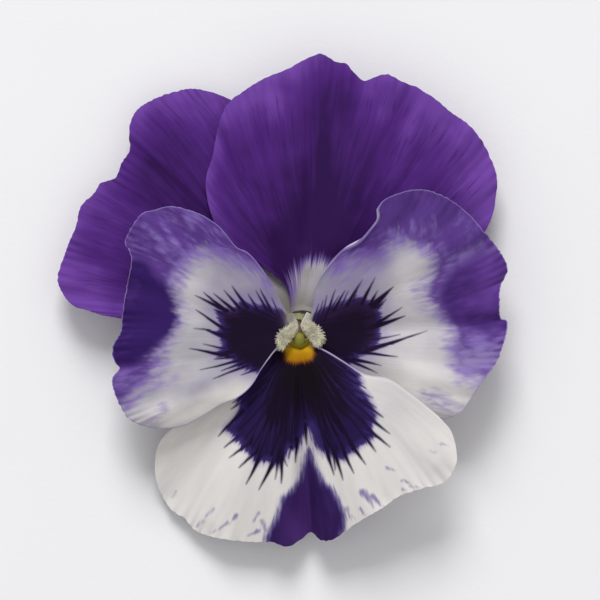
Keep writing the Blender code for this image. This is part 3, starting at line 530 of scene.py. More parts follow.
# Beards: outline as (x, y), and the height of the pad's underside at the upper and lower end
BEARDS = {
    "beard_left": {
        "outline": [
            (1.9, -3.2), (1.3, -3.3), (0.5, -3.9), (-0.1, -4.5), (-0.55, -5.1), (-0.75, -5.7),
            (-0.75, -6.3), (-0.65, -6.85), (-0.2, -7.05), (0.15, -6.75), (0.5, -6.1), (0.95, -5.4),
            (1.45, -4.7), (1.85, -4),
        ],
        "heights": (10.7, 11),
    },
    "beard_right": {
        "outline": [
            (3, -3.2), (3.7, -3.1), (4.3, -3.5), (4.9, -4.1), (5.45, -4.8), (5.75, -5.5), (5.6, -6.1),
            (5.05, -6.5), (4.6, -6.45), (4.2, -5.9), (3.85, -5.2), (3.4, -4.5), (3, -3.9),
        ],
        "heights": (10.7, 10.6),
    },
}
# The pad's part of that outline and its divisions, then its dome and the one that the hairs' roots
# lie on, as the height at the rim and the rise to the middle
BEARD_PAD = 0.84
PAD_STEPS = 5
PAD_RINGS = 12
PAD_DOME = (0.1, 0.25)
ROOT_DOME = (0.08, 0.22)
DOME_FALL = 0.96

# A hair's rings as (place along it, part of the radius), its tip beyond the last one as a part of the
# radius, its lean in the middle and what the rim adds, the scatter of that lean and how much a hair
# rises against a lean of 1. Parts of its length: what all have and what chance adds, then what the
# middle has and what the rim adds.
HAIR_RINGS = [(0, 1.0), (0.55, 0.8), (1, 0.25)]
HAIR_SIDES = 4
HAIR_TIP = 0.3
HAIR_LEAN = (0.3, 1.6)
HAIR_SCATTER = 0.25
HAIR_RISE = 0.55
HAIR_CHANCE = (0.45, 0.75)
HAIR_GROWTH = (0.6, 0.6)

# The stage: half the floor's side and the light's distance in metres, then the height in
# millimetres where the frame's width is measured, and the place that the camera looks at
FLOOR_HALF = 3.0
KEY_DISTANCE = 2.4
VIEW_HEIGHT = 7
VIEW_CENTRE = (2.4, -0.07)


def srgb(red, green, blue):
    """Return the linear colour of an eight bit screen colour."""
    c = np.array([red, green, blue]) / 255
    return tuple(np.where(c <= 0.04045, c / 12.92, ((c + 0.055) / 1.055) ** 2.4))


def colour_property(name, description, red, green, blue):
    """Return a colour property whose default is an eight bit screen colour."""
    return FloatVectorProperty(name=name, description=description, default=srgb(red, green, blue),
                               subtype="COLOR", size=3, min=0, max=1)


def length_property(name, description, size, least=0.0):
    """Return a length property whose default and least value are given in millimetres."""
    return FloatProperty(name=name, description=description, default=size * MM, min=least * MM,
                         subtype="DISTANCE", unit="LENGTH")


class PansyShape(bpy.types.PropertyGroup):
    """Sizes of the fine surfaces."""

    blade_throat: length_property("Blade at throat", "Thickness of a petal at the throat", 0.36, 0.1)
    blade_margin: length_property("Blade at margin", "Thickness of a petal at its margin", 0.2, 0.05)
    frill: length_property("Frill", "Height of the fine waves along each margin", 0.1)
    columns: IntProperty(name="Columns", description="Divisions of a margin", default=300, min=40)
    rows: IntProperty(name="Rows", description="Divisions from throat to margin", default=120, min=20)
    hairs: IntProperty(name="Hairs", description="Hairs in each beard", default=1500, min=20)
    hair_length: length_property("Hair length", "Length of a hair in the beards", 0.62, 0.1)
    hair_radius: length_property("Hair radius", "Radius of a hair at its root", 0.045, 0.02)


class PansyColours(bpy.types.PropertyGroup):
    """Colours of the bloom."""

    # The purples are partly painted light and shade: the dark one also fills folds and the throat in shade
    purple: colour_property("Purple", "Upper petals", 74, 36, 114)
    purple_dark: colour_property("Dark purple", "Upper petals in their folds and veins", 44, 20, 70)
    purple_light: colour_property("Light purple", "Upper petals towards their margins", 110, 68, 156)
    white: colour_property("White", "White fields of the side and lower petals", 226, 223, 219)
    # Painted shade: the white fields where they lie in shade, turned from the light or over a dark petal
    white_in_shade: colour_property("Grey white", "White fields over a dark petal", 132, 127, 146)
    violet: colour_property("Violet", "Deep margins of the side petals", 50, 28, 90)
    wash: colour_property("Wash", "Violet wash of the side petals' margins", 78, 44, 122)
    lavender: colour_property("Lavender", "Pale streaks in the side petals' margins", 124, 101, 170)
    blotch: colour_property("Blotch", "Dark centre of the blotches", 25, 15, 33)
    blotch_grey: colour_property("Blotch grey", "Darkest part of the blotch below the eye", 20, 16, 20)
    fringe: colour_property("Fringe", "Violet fringe of the blotches and the wedge", 62, 46, 112)
    haze: colour_property("Haze", "Lavender haze beside the blotches of the side petals", 112, 98, 140)
    blotch_plum: colour_property("Blotch plum", "Lighter parts of the side petals' blotches", 40, 25, 52)
    blotch_violet: colour_property("Blotch violet", "Violet of the blotches' edges and sides", 40, 27, 72)
    wedge: colour_property("Wedge", "Purple wedge of the lower petal", 47, 27, 78)
    eye: colour_property("Eye", "Yellow of the eye", 160, 112, 13)
    # Painted light: a brighter yellow that lifts the eye where the stigma and beards shade it
    eye_in_painted_light: colour_property("Eye glow", "Yellow of the eye under the stigma", 220, 170, 34)
    eye_olive: colour_property("Eye olive", "Upper part of the eye", 150, 142, 34)
    eye_rust: colour_property("Eye rust", "Jagged lower edge of the eye", 104, 52, 20)
    base: colour_property("Petal base", "Pale base of the upper petals", 168, 163, 172)
    # Painted shade: the pale base where it lies in shade deep in the throat, under the other petals
    base_in_shade: colour_property("Petal base green", "Shaded base of the upper petals", 122, 118, 112)
    # Partly a painted highlight: the pale line along the petals' lit edges
    rim: colour_property("Rim", "Thin pale rim of the side petals", 178, 168, 192)
    cream: colour_property("Beard cream", "Hairs of the beards", 228, 224, 204)
    # Partly painted shade: the style darker and browner for the shade of the cleft between the beards
    style: colour_property("Style", "Brownish style between the beards", 84, 62, 40)
    stigma: colour_property("Stigma", "Head of the pistil", 142, 138, 62)
    claw: colour_property("Claw", "Pale narrow part of the side petals at the throat", 160, 155, 143)
    anther: colour_property("Anther", "Stamens", 132, 130, 94)
    sepal: colour_property("Sepal", "Green of the sepals", 88, 122, 50)
    stalk: colour_property("Stalk", "Green of the stalk", 122, 150, 74)


class PansyStage(bpy.types.PropertyGroup):
    """Floor, camera and light."""

    camera_height: length_property("Camera height", "Height of the camera over the floor", 2000, 200)
    frame_width: length_property("Frame width", "Width of the view at the petals' height", 84.84, 10)
    key_power: FloatProperty(name="Key power", description="Power of the large soft light", default=48.0,
                             min=0, subtype="POWER", unit="POWER")
    key_elevation: FloatProperty(name="Key elevation", description="Height of the light over the horizon",
                                 default=math.radians(39), subtype="ANGLE", unit="ROTATION")
    key_azimuth: FloatProperty(name="Key azimuth", description="Direction that the light comes from",
                               default=math.radians(96), subtype="ANGLE", unit="ROTATION")
    key_size: length_property("Key size", "Side of the large soft light", 1050, 10)
    fill: FloatProperty(name="Fill", description="Strength of the light all round", default=0.57, min=0)
    floor: FloatVectorProperty(name="Floor", description="Colour of the floor", subtype="COLOR", size=3,
                               default=(0.815, 0.807, 0.827), min=0, max=1)


class Socket:
    """A shader value that formulas can be written with: each operation adds one Math node."""

    def __init__(self, shader, socket):
        self.shader = shader
        self.socket = socket

    def __add__(self, other):
        return self.shader.math("ADD", self, other)

    def __sub__(self, other):
        return self.shader.math("SUBTRACT", self, other)

    def __rsub__(self, other):
        return self.shader.math("SUBTRACT", other, self)

    def __mul__(self, other):
        return self.shader.math("MULTIPLY", self, other)

    __radd__ = __add__
    __rmul__ = __mul__


class Shader:
    """A material built from nodes; values and colours are passed round as sockets."""

    def __init__(self, name, **constants):
        self.material = bpy.data.materials.new(name)
        self.material.use_nodes = True
        self.tree = self.material.node_tree
        self.surface = self.tree.nodes["Principled BSDF"]
        for key, value in constants.items():
            self.surface.inputs[key.replace("_", " ")].default_value = value

    def put(self, socket, value):
        """Link a socket to a value, or set it."""
        if isinstance(value, Socket):
            self.tree.links.new(value.socket, socket)
        elif socket.type == "RGBA":
            socket.default_value = (*value[:3], 1)
        else:
            socket.default_value = value

    def node(self, kind, settings, inputs, output=0):
        """Add a node: its settings first, then its sockets by name or number."""
        made = self.tree.nodes.new(kind)
        for key, value in settings.items():
            setattr(made, key, value)
        for key, value in inputs.items():
            self.put(made.inputs[key], value)
        return Socket(self, made.outputs[output])

    def math(self, operation, first, second):
        """Work out one step of a formula."""
        return self.node("ShaderNodeMath", {"operation": operation}, {0: first, 1: second})

    def fields(self, *names):
        """Read values that are kept at the mesh's points."""
        return [self.node("ShaderNodeAttribute", {"attribute_name": name}, {}, "Fac") for name in names]

    def place(self):
        """Return the place on the piece in metres."""
        return self.node("ShaderNodeTexCoord", {}, {}, "Object")

    def noise(self, place, scale, detail=2.0):
        """Return soft noise that swings evenly about 0, within 0.5 either way."""
        inputs = {"Vector": place, "Scale": scale, "Detail": detail}
        return self.node("ShaderNodeTexNoise", {}, inputs) - 0.5

    def grain(self, x, y, seed, detail=2.0):
        """Return the same noise over two values, such as a petal's across and along."""
        return self.noise(self.node("ShaderNodeCombineXYZ", {}, {0: x, 1: y, 2: seed}), 1.0, detail)

    def ramp(self, value, low, high):
        """Rise smoothly from 0 at low to 1 at high, which may be the smaller."""
        return self.node("ShaderNodeMapRange", {"interpolation_type": "SMOOTHSTEP"},
                         {"Value": value, "From Min": low, "From Max": high})

    def mix(self, first, second, factor):
        """Blend two colours."""
        return self.node("ShaderNodeMix", {"data_type": "RGBA"}, {0: factor, 6: first, 7: second}, 2)

    def off(self, x, y, z):
        """Return the distance in mm from a point given in mm."""
        ends = {0: self.place(), 1: (x * MM, y * MM, z * MM)}
        return self.node("ShaderNodeVectorMath", {"operation": "DISTANCE"}, ends, 1) * (1 / MM)

    def bump(self, height, strength, depth):
        """Give the surface a relief that is depth mm deep."""
        made = self.node("ShaderNodeBump", {},
                         {"Height": height, "Strength": strength, "Distance": depth * MM})
        self.put(self.surface.inputs["Normal"], made)

    def colour(self, colour):
        """Set the colour of the surface."""
        self.put(self.surface.inputs["Base Color"], colour)


def look_up(wanted, steps, values):
    """Return rows of values, which are known at rising steps, at the wanted steps."""
    return np.stack([np.interp(wanted, steps, column) for column in values.T], axis=1)


def curve_steps(a, b, c, d, steps):
    """Return the Catmull-Rom curve from each b to its c, which a comes before and d follows.

    With t from 0 to 1 it is b + t / 2 * (c - a + t * (2 a - 5 b + 4 c - d + t * (3 (b - c) + d - a))).
    """
    t = np.linspace(0, 1, steps, endpoint=False)[:, None]
    a, b, c, d = (points[:, None] for points in (a, b, c, d))
    curve = b + 0.5 * t * (c - a + t * (2 * a - 5 * b + 4 * c - d + t * (3 * (b - c) + d - a)))
    return curve.reshape(-1, curve.shape[-1])


def smooth_line(points, count):
    """Return count points at even steps along the smooth curve through the given points."""
    p = np.array(points, float)
    padded = np.vstack([2 * p[0] - p[1], p, 2 * p[-1] - p[-2]])
    curve = curve_steps(*(padded[i : i + len(p) - 1] for i in range(4)), CURVE_STEPS)
    curve = np.vstack([curve, p[-1:]])
    along = np.concatenate([[0], np.cumsum(np.linalg.norm(np.diff(curve, axis=0), axis=1))])
    return look_up(np.linspace(0, along[-1], count), along, curve)


def closed_line(points, steps):
    """Return the smooth curve round a closed outline, steps points to each side."""
    p = np.array(points, float)
    return curve_steps(*(np.roll(p, shift, axis=0) for shift in (1, 0, -1, -2)), steps)


def in_parts(measure, points):
    """Measure points part by part, which keeps the arrays small."""
    return np.concatenate([measure(part) for part in np.array_split(points, len(points) // PART_SIZE + 1)])


def off_segments(points, start, end):
    """Return each point's distance from each segment and its place along it, 0 at the start."""
    run = end - start
    away = points[:, None] - start[None]
    along = np.clip((away * run).sum(-1) / (run**2).sum(-1), 0, 1)
    return np.linalg.norm(away - along[..., None] * run, axis=-1), along


def outline_field(points, outline):
    """Return the distance from a closed outline in mm, positive inside (even-odd crossings)."""
    start = closed_line(outline, OUTLINE_STEPS)
    end = np.roll(start, -1, axis=0)
    rise = end[:, 1] - start[:, 1]
    slope = (end[:, 0] - start[:, 0]) / np.where(np.abs(rise) < TINY, TINY, rise)

    def depth(part):
        far = off_segments(part, start, end)[0].min(axis=1)
        x, y = part[:, :1], part[:, 1:]
        crossed = (start[:, 1] > y) != (end[:, 1] > y)
        crossed &= x < start[:, 0] + slope * (y - start[:, 1])
        return np.where(crossed.sum(axis=1) % 2 == 1, far, -far)

    return in_parts(depth, points)


def stroke_field(points, strokes):
    """Return how deep each point lies in tapering strokes: half width there less the distance."""
    s = np.array(strokes)

    def depth(part):
        far, along = off_segments(part, s[:, :2], s[:, 2:4])
        return (0.5 * s[:, 4] * (1 - along) ** STROKE_TAPER - far).max(axis=1)

    return in_parts(depth, points)


def longer(stroke):
    """Carry a stroke on inwards from its root, towards the eye, as a thin dark ray."""
    x, y, tip_x, tip_y, width = stroke
    inner_x, inner_y = x + RAY_LENGTH * (EYE_CENTRE[0] - x), y + RAY_LENGTH * (EYE_CENTRE[1] - y)
    return inner_x, inner_y, tip_x, tip_y, width * RAY_WIDTH


def patch_field(points, patches):
    """Return the sum of soft oval patches: amount times exp of minus the squared distance."""
    total = np.zeros(len(points))
    for x, y, reach_x, reach_y, turn, amount in patches:
        a = math.radians(turn)
        off = points - (x, y)
        across = (off[:, 0] * math.cos(a) + off[:, 1] * math.sin(a)) / reach_x
        along = (off[:, 1] * math.cos(a) - off[:, 0] * math.sin(a)) / reach_y
        total += amount * np.exp(-(across**2) - along**2)
    return total


def heading(azimuth):
    """Return the level unit vector at an azimuth in degrees."""
    a = math.radians(azimuth)
    return np.array([math.cos(a), math.sin(a), 0.0])


def around(azimuth, out, height):
    """Return the points at an azimuth, at distances out from the receptacle's axis and at heights."""
    axis = RECEPTACLE * (1, 1, 0)
    return axis + np.multiply.outer(out, heading(azimuth)) + np.multiply.outer(height, (0, 0, 1))


def make_piece(name, solid, node, material, fields=None):
    """Add a solid given in millimetres that stands for a CAD node, with values at its points."""
    vertices, faces = solid
    mesh = bpy.data.meshes.new(name)
    sizes = np.concatenate([np.full(len(part), part.shape[1]) for part in faces])
    loops = np.concatenate([part.ravel() for part in faces]).astype(np.int32)
    mesh.vertices.add(len(vertices))
    mesh.vertices.foreach_set("co", (vertices * MM).astype(np.float32).ravel())
    mesh.loops.add(len(loops))
    mesh.loops.foreach_set("vertex_index", loops)
    mesh.polygons.add(len(sizes))
    mesh.polygons.foreach_set("loop_start", (np.cumsum(sizes) - sizes).astype(np.int32))
    mesh.update(calc_edges=True)
    if mesh.validate():
        raise RuntimeError(f"{name} has broken faces")
    mesh.shade_smooth()
    mesh.set_sharp_from_angle(angle=SHARP_ANGLE)
    for key, values in (fields or {}).items():
        layer = mesh.attributes.new(key, "FLOAT", "POINT")
        layer.data.foreach_set("value", values.astype(np.float32))
    mesh.materials.append(material)
    thing = bpy.data.objects.new(name, mesh)
    bpy.context.scene.collection.objects.link(thing)
    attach(thing, ROOT)
    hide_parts(node)


def outward(vertices, faces):
    """Turn all faces over if the volume they enclose is negative."""
    volume = 0.0
    for part in faces:
        a, b, c = (vertices[part[:, i]] for i in (0, 1, 2))
        volume += np.einsum("ij,ij->i", a, np.cross(b, c)).sum()
        if part.shape[1] == 4:
            d = vertices[part[:, 3]]
            volume += np.einsum("ij,ij->i", a, np.cross(c, d)).sum()
    return faces if volume > 0 else [part[:, ::-1] for part in faces]


def join_solids(parts):
    """Put several closed surfaces into one mesh."""
    vertices, faces, first = [], [], 0
    for points, sides in parts:
        vertices.append(points)
        faces += [part + first for part in sides]
        first += len(points)
    return np.vstack(vertices), faces


def sheet(grid, thickness):
    """Thicken a grid of points into a closed blade. thickness fits the grid or spreads over it.

    The two faces lie half the thickness from the grid along its normal, and a rim closes them.
    """
    m, n = grid.shape[:2]
    normal = np.cross(np.gradient(grid, axis=0), np.gradient(grid, axis=1))
    normal /= np.linalg.norm(normal, axis=2, keepdims=True)
    if normal[..., 2].mean() < 0:
        normal = -normal
    half = normal * np.broadcast_to(thickness, (m, n))[..., None] / 2
    vertices = np.vstack([(grid + half).reshape(-1, 3), (grid - half).reshape(-1, 3)])
    index = np.arange(m * n).reshape(m, n)
    face = np.stack([index[:-1, :-1], index[1:, :-1], index[1:, 1:], index[:-1, 1:]], -1).reshape(-1, 4)
    loop = np.concatenate([index[:-1, 0], index[-1, :-1], index[:0:-1, -1], index[0, :0:-1]])
    following = np.roll(loop, -1)
    rim = np.stack([following, loop, loop + m * n, following + m * n], -1)
    return vertices, outward(vertices, [np.vstack([face, face[:, ::-1] + m * n, rim])])


def ring_faces(rings, sides):
    """Return the faces of a stack of rings, whose two end hubs are numbered after all the rings."""
    index = np.arange(rings * sides).reshape(rings, sides)
    beside = np.roll(index, -1, axis=1)
    wall = np.stack([index[:-1], beside[:-1], beside[1:], index[1:]], -1).reshape(-1, 4)
    hub = np.full(sides, rings * sides)
    first = np.stack([beside[0], index[0], hub], -1)
    last = np.stack([index[-1], beside[-1], hub + 1], -1)
    return [wall, np.vstack([first, last])]


def ring_solid(rings):
    """Close a stack of rings of points with a flat cap at each end."""
    vertices = np.vstack([rings.reshape(-1, 3), rings[0].mean(0), rings[-1].mean(0)])
    return vertices, outward(vertices, ring_faces(*rings.shape[:2]))


def spokes(sides, right, up):
    """Return cos(angle) * right + sin(angle) * up at even angles all round, for arrays of both."""
    angles = np.linspace(0, 2 * math.pi, sides, endpoint=False)[:, None]
    return np.cos(angles) * right[:, None] + np.sin(angles) * up[:, None]


def frames_along(path):
    """Return points on a smooth path and two unit vectors square to it, carried along unturned."""
    line = smooth_line(path, PATH_STEPS)
    tangent = np.gradient(line, axis=0)
    tangent /= np.linalg.norm(tangent, axis=1, keepdims=True)
    side = np.cross(tangent[0], (0.0, 1.0, 0.0) if abs(tangent[0][1]) < 0.9 else (1.0, 0.0, 0.0))
    sides = []
    for direction in tangent:
        side = side - direction * (side @ direction)
        side = side / np.linalg.norm(side)
        sides.append(side)
    sides = np.array(sides)
    return line, sides, np.cross(tangent, sides)


def tube(path, profile, sides):
    """Turn a profile of (place along the path, radius) round a smooth path, closed at both ends.

    Each ring is its centre plus the radius times the spokes. What would sink into the floor is
    pressed flat on it.
    """
    steps = np.linspace(0, 1, PATH_STEPS)
    centre, right, up = (look_up(profile[:, 0], steps, values) for values in frames_along(path))
    rings = centre[:, None] + profile[:, 1, None, None] * spokes(sides, right, up)
    rings[..., 2] = np.maximum(rings[..., 2], 0)
    return ring_solid(rings)


def spur_mouth_arc(count):
    """Return points on the front of the spur's mouth, from its left to its right."""
    turn = np.radians(np.linspace(*SPUR_MOUTH_ARC, count))[:, None]
    back = np.array([0, math.cos(SPUR_TILT), -math.sin(SPUR_TILT)])
    return SPUR_MOUTH + SPUR_MOUTH_RADIUS * (np.cos(turn) * np.array([1.0, 0, 0]) + np.sin(turn) * back)


def wave(u, count, sway, drift):
    """Return a sine of count waves along u, made uneven by a slower sine of drift waves."""
    return np.sin(2 * math.pi * count * u + sway * np.sin(2 * math.pi * drift * u))


def petal_surface(name, columns, rows, frill):
    """Fill a petal's outline: columns follow the margin, rows run out from the throat.

    u goes from 0 to 1 along the margin, v from 0 at the throat to 1. The four sides are blended
    across the patch (Coons). The middle is lifted by 16 * arch * u (1 - u) v (1 - v). Ruffles grow as
    v^4 and the frill's fine waves and notches as v^14, and all of them fade at both sides as
    8 u (1 - u). Each fold adds height * exp(-(off / reach)^2). Rows with v below 0 are the lip inside
    the throat.
    """
    petal = PETALS[name]
    throat = smooth_line(petal["throat"], columns + 1) if "throat" in petal else spur_mouth_arc(columns + 1)
    margin = smooth_line(petal["margin"], columns + 1)
    u = np.linspace(0, 1, columns + 1)
    v = np.linspace(0, 1, rows + 1)
    uu, vv = u[:, None, None], v[:, None]
    grid = (1 - vv) * throat[:, None] + vv * margin[:, None]
    for side, end, share in (("left", 0, 1 - uu), ("right", -1, uu)):
        line = smooth_line([throat[end], *petal[side], margin[end]], rows + 1)
        grid = grid + share * (line - (1 - vv) * throat[end] - vv * margin[end])

    ends = np.minimum(1, 8 * uu * (1 - uu))
    count, size, phase = petal["ruffles"]
    grid[..., 2:] += petal["arch"] * 16 * uu * (1 - uu) * vv * (1 - vv)
    grid[..., 2:] += size * vv**4 * ends * np.sin(2 * math.pi * (count * uu + phase))
    grid[..., 2:] += frill * vv**14 * ends * wave(uu, *FRILL_WAVE)
    outwards = (grid[:, -1] - grid[:, -MARGIN_ROWS]) * (1, 1, 0)
    outwards /= np.linalg.norm(outwards, axis=1, keepdims=True)
    coarse, fine, inset = NOTCH_DEPTHS
    groups = np.sin(2 * math.pi * NOTCH_GROUPS * u + 1)
    notch = coarse * groups * wave(u, *NOTCH_WAVE) + fine * wave(u, *FINE_NOTCH_WAVE) - inset
    grid += frill * vv**14 * ends * (notch[:, None] * outwards)[:, None]

    folds = np.array(petal["folds"], float)
    far = off_segments(grid[..., :2].reshape(-1, 2), folds[:, :2], folds[:, 2:4])[0]
    fold = (folds[:, 5] * np.exp(-((far / folds[:, 4]) ** 2))).sum(axis=1)
    grid[..., 2] += fold.reshape(grid.shape[:2])
    lip = smooth_line(petal["lip"], columns + 1)
    steps = np.linspace(0, 1, LIP_ROWS, endpoint=False)
    inner = lip[:, None] + (throat - lip)[:, None] * steps[:, None]
    return np.concatenate([inner, grid], axis=1), u, np.concatenate([-LIP_DEPTH * (1 - steps), v])


def claw_solid(name):
    """Make a petal's claw: a flat strip from the blade's throat edge down to the receptacle."""
    petal = PETALS[name]
    throat = smooth_line(petal.get("claw", petal["throat"]), CLAW_COLUMNS)
    middle = around(petal["azimuth"], CLAW_START, CLAW_HEIGHT)
    across = (throat[-1] - throat[0]) * (1, 1, 0)
    across *= CLAW_HALF_WIDTH / np.linalg.norm(across)
    root = smooth_line([middle - across, middle + across], CLAW_COLUMNS)
    steps = np.linspace(0, 1, CLAW_ROWS)[:, None]
    return sheet(root[:, None] * (1 - steps) + throat[:, None] * steps, CLAW_THICKNESS)


def edge_distance(grid, first):
    """Return how far each point of a blade is from its edge in mm, seen from above.

    first is the number of the row where the blade starts. The edge's lines are cut in fine steps.
    """
    lines = (grid[:, -1, :2], grid[0, first:, :2], grid[-1, first:, :2])
    rim = np.vstack([smooth_line(line, 4 * len(line)) for line in lines])

    def far(part):
        return np.sqrt(((part[:, None] - rim) ** 2).sum(-1).min(axis=1))

    return in_parts(far, grid[..., :2].reshape(-1, 2))


def make_petal(name, material, shape, base):
    """Make a petal from its blade and its base, and keep at its points what its material reads."""
    fine_u, fine_v = PETALS[name]["fineness"]
    columns, rows = int(shape.columns * fine_u), int(shape.rows * fine_v)
    grid, u, v = petal_surface(name, columns, rows, shape.frill / MM)
    margin = shape.blade_margin / MM
    thickness = margin + (shape.blade_throat / MM - margin) * (1 - np.clip(v, 0, 1)) ** BLADE_TAPER
    plan = grid[..., :2].reshape(-1, 2)
    wavy = plan + STROKE_SWAY * np.sin(plan[:, ::-1] * SWAY_RATE + (0, 1))
    strokes = dict(STROKES.get(name, {}))
    if name == "petal_lower":
        strokes["ray"] = [longer(stroke) for stroke in strokes["whisker"]]
    places = {
        "across": np.repeat(u, len(v)),
        "along": np.tile(v, len(u)),
        "edge": edge_distance(grid, LIP_ROWS),
        **{key: patch_field(plan, patches) for key, patches in PATCHES[name].items()},
    }
    markings = {
        **{key: outline_field(plan, outline) for key, outline in OUTLINES[name].items()},
        **{key: stroke_field(wavy, lines) for key, lines in strokes.items()},
    }
    more = len(base[0])
    fields = {"face": np.repeat([1.0, 0.0], [len(plan), len(plan) + more])}
    for key, values in {**places, **markings}.items():
        at_base = OUTSIDE if key in markings else BASE_VALUES.get(key, 0.0)
        fields[key] = np.concatenate([values, values, np.full(more, at_base)])
    solid = join_solids([sheet(grid, thickness), base])
    make_piece(name.replace("petal_", "bloom_"), solid, name, material, fields)


def spur_solid():
    """Make the hollow spur: its outer wall from the tip to the mouth, then its inner wall back."""
    outer_rings, inner_rings, sides = SPUR_DIVISIONS
    hollow = [(place * SPUR_FLOOR, radius - SPUR_WALL) for place, radius in SPUR_PROFILE[:-1]]
    outer = smooth_line(SPUR_PROFILE, outer_rings)[::-1]
    inner = smooth_line(hollow, inner_rings)
    path = [SPUR_MOUTH + (0, forward, down) for forward, down in SPUR_BEND]
    return tube(path, np.vstack([outer, inner]), sides)


def sepal_solid(azimuth, lift):
    """Make a sepal: a strip along its profile, with t from -1 to 1 across it.

    Its margins fold down by SEPAL_FOLD * t^2 * half width. A rib at t = 0 and two of half its height
    at t = 0.55 to both sides press it down, and its thickness swells as 1 - t^2.
    """
    rows, columns = SEPAL_DIVISIONS
    out, height = smooth_line(SEPAL_PROFILE, rows).T
    reach = np.linspace(0, 1, rows)
    steps = np.linspace(0, 1, len(SEPAL_HALF_WIDTHS))
    knots = smooth_line(np.column_stack([steps, SEPAL_HALF_WIDTHS]), PATH_STEPS)
    widths = np.interp(reach, knots[:, 0], knots[:, 1])
    t = np.linspace(-1, 1, columns)[:, None]
    middle = around(azimuth, out, height + lift * np.interp(out, SEPAL_LIFT_OUT, (0, 1)))
    grid = middle + (t * widths)[..., None] * heading(azimuth + 90)
    ribs = np.exp(-((t / 0.1) ** 2)) + 0.5 * np.exp(-(((np.abs(t) - 0.55) / 0.08) ** 2))
    grid[..., 2] -= SEPAL_FOLD * t**2 * widths * np.clip((reach - 0.2) * 6, 0, 1)
    grid[..., 2] -= SEPAL_RIB * ribs * np.sin(math.pi * reach)
    return sheet(grid, SEPAL_EDGE + SEPAL_SWELL * (1 - t**2))


def stamen_solid(azimuth):
    """Make a stamen that leans to the throat by the square of its height, flattened outwards.

    The ones at TAIL_AZIMUTHS have a nectar tail that bends down into the spur.
    """
    rings, sides = STAMEN_DIVISIONS
    foot = RECEPTACLE + (0, 0, STAMEN_FOOT)
    away = heading(azimuth)
    out, up = np.array(STAMEN_BEND).T
    path = around(azimuth, out, foot[2] + up) + np.outer((up / up[-1]) ** 2, STAMEN_LEAN)
    vertices, faces = tube(path, smooth_line(STAMEN_PROFILE, rings), sides)
    line = smooth_line(path, PATH_STEPS)
    middle = look_up(vertices[:, 2], line[:, 2], line)
    vertices = vertices - STAMEN_FLATTENING * ((vertices - middle) @ away)[:, None] * away
    parts = [(vertices, faces)]
    if azimuth in TAIL_AZIMUTHS:
        rings, sides = TAIL_DIVISIONS
        bend = foot + np.array(TAIL_BEND) * (math.copysign(1, away[0]), 1, 1)
        parts.append(tube(bend, smooth_line(TAIL_PROFILE, rings), sides))
    return join_solids(parts)


def hair_tuft(roots, directions, lengths, radius):
    """Return many hairs as one mesh: rings of HAIR_RINGS round straight axes, with a closed tip.

    Each ring's centre is root + place * length * direction, its radius is radius * width.
    """
    places, widths = np.array(HAIR_RINGS).T
    count, size = len(roots), len(places) * HAIR_SIDES
    side = np.cross(directions, [0.0, 1.0, 0.0])
    side /= np.linalg.norm(side, axis=1, keepdims=True)
    round_axis = spokes(HAIR_SIDES, side, np.cross(directions, side))
    centre = roots[:, None] + places[:, None] * (lengths[:, None] * directions)[:, None]
    points = centre[:, :, None] + radius * widths[:, None, None] * round_axis[:, None]
    hubs = np.stack([centre[:, 0], centre[:, -1] + HAIR_TIP * radius * directions], 1)
    vertices = np.concatenate([points.reshape(count, size, 3), hubs], axis=1).reshape(-1, 3)
    first = (np.arange(count) * (size + 2))[:, None, None]
    faces = [(first + part).reshape(-1, part.shape[1]) for part in ring_faces(len(places), HAIR_SIDES)]
    return vertices, outward(vertices, faces)


def dome(reach, rim, rise):
    """Return a dome's height at reach, 0 in the middle to 1 at the rim."""
    return rim + rise * np.sqrt(1 - DOME_FALL * reach**2)


def beard_solid(beard, shape, chance):
    """Make a beard: a low domed pad set with hairs that lean away from its middle.

    Towards the rim the hairs lie flatter, by the cube of how far out they stand, and grow longer, by
    its fourth power.
    """
    line = closed_line(beard["outline"], PAD_STEPS)
    middle = line.mean(axis=0)
    high, low = beard["heights"]
    ends = (line[:, 1].min(), line[:, 1].max())

    def under(places):
        return np.interp(places[..., 1], ends, (low, high))

    reach = np.linspace(0, 1, PAD_RINGS + 1)[1:, None]
    ring = middle + BEARD_PAD * reach[..., None] * (line - middle)
    over = np.dstack([ring, under(ring) + dome(reach, *PAD_DOME)])
    pad = ring_solid(np.concatenate([over, np.dstack([ring, under(ring)])[::-1]]))

    spread = np.sqrt(chance.random(shape.hairs) * 0.98)
    edge = line[(chance.random(shape.hairs) * len(line)).astype(int)]
    foot = middle + BEARD_PAD * (edge - middle) * spread[:, None]
    roots = np.column_stack([foot, under(foot) + dome(spread, *ROOT_DOME)])
    lean = (edge - middle) / np.linalg.norm(edge - middle, axis=1, keepdims=True)
    lean = lean * (HAIR_LEAN[0] + HAIR_LEAN[1] * spread**3)[:, None]
    lean = lean + chance.normal(0, HAIR_SCATTER, (shape.hairs, 2))
    ways = np.column_stack([lean, np.full(shape.hairs, HAIR_RISE)])
    ways /= np.linalg.norm(ways, axis=1, keepdims=True)
    share = HAIR_CHANCE[0] + HAIR_CHANCE[1] * chance.random(shape.hairs)
    growth = HAIR_GROWTH[0] + HAIR_GROWTH[1] * spread**4
    lengths = shape.hair_length / MM * share * growth
    return join_solids([pad, hair_tuft(roots, ways, lengths, shape.hair_radius / MM)])


def shaded(colour, factor):
    """Return a colour made darker, or lighter by a factor over 1."""
    return tuple(channel * factor for channel in colour)


def petal_shader(name, strength):
    """Start a petal's material with fine ridges along the veins and a cell-like grain in relief."""
    s = Shader(name, Roughness=0.6, Specular_IOR_Level=0.03)
    across, along = s.fields("across", "along")
    ridge = s.grain(across * 150, along * 5, 0.0, 3.0)
    cells = s.noise(s.place(), 5200.0, 1.0)
    s.bump(ridge * 0.7 + cells * 0.3, strength, 0.12)
    return s, across, along


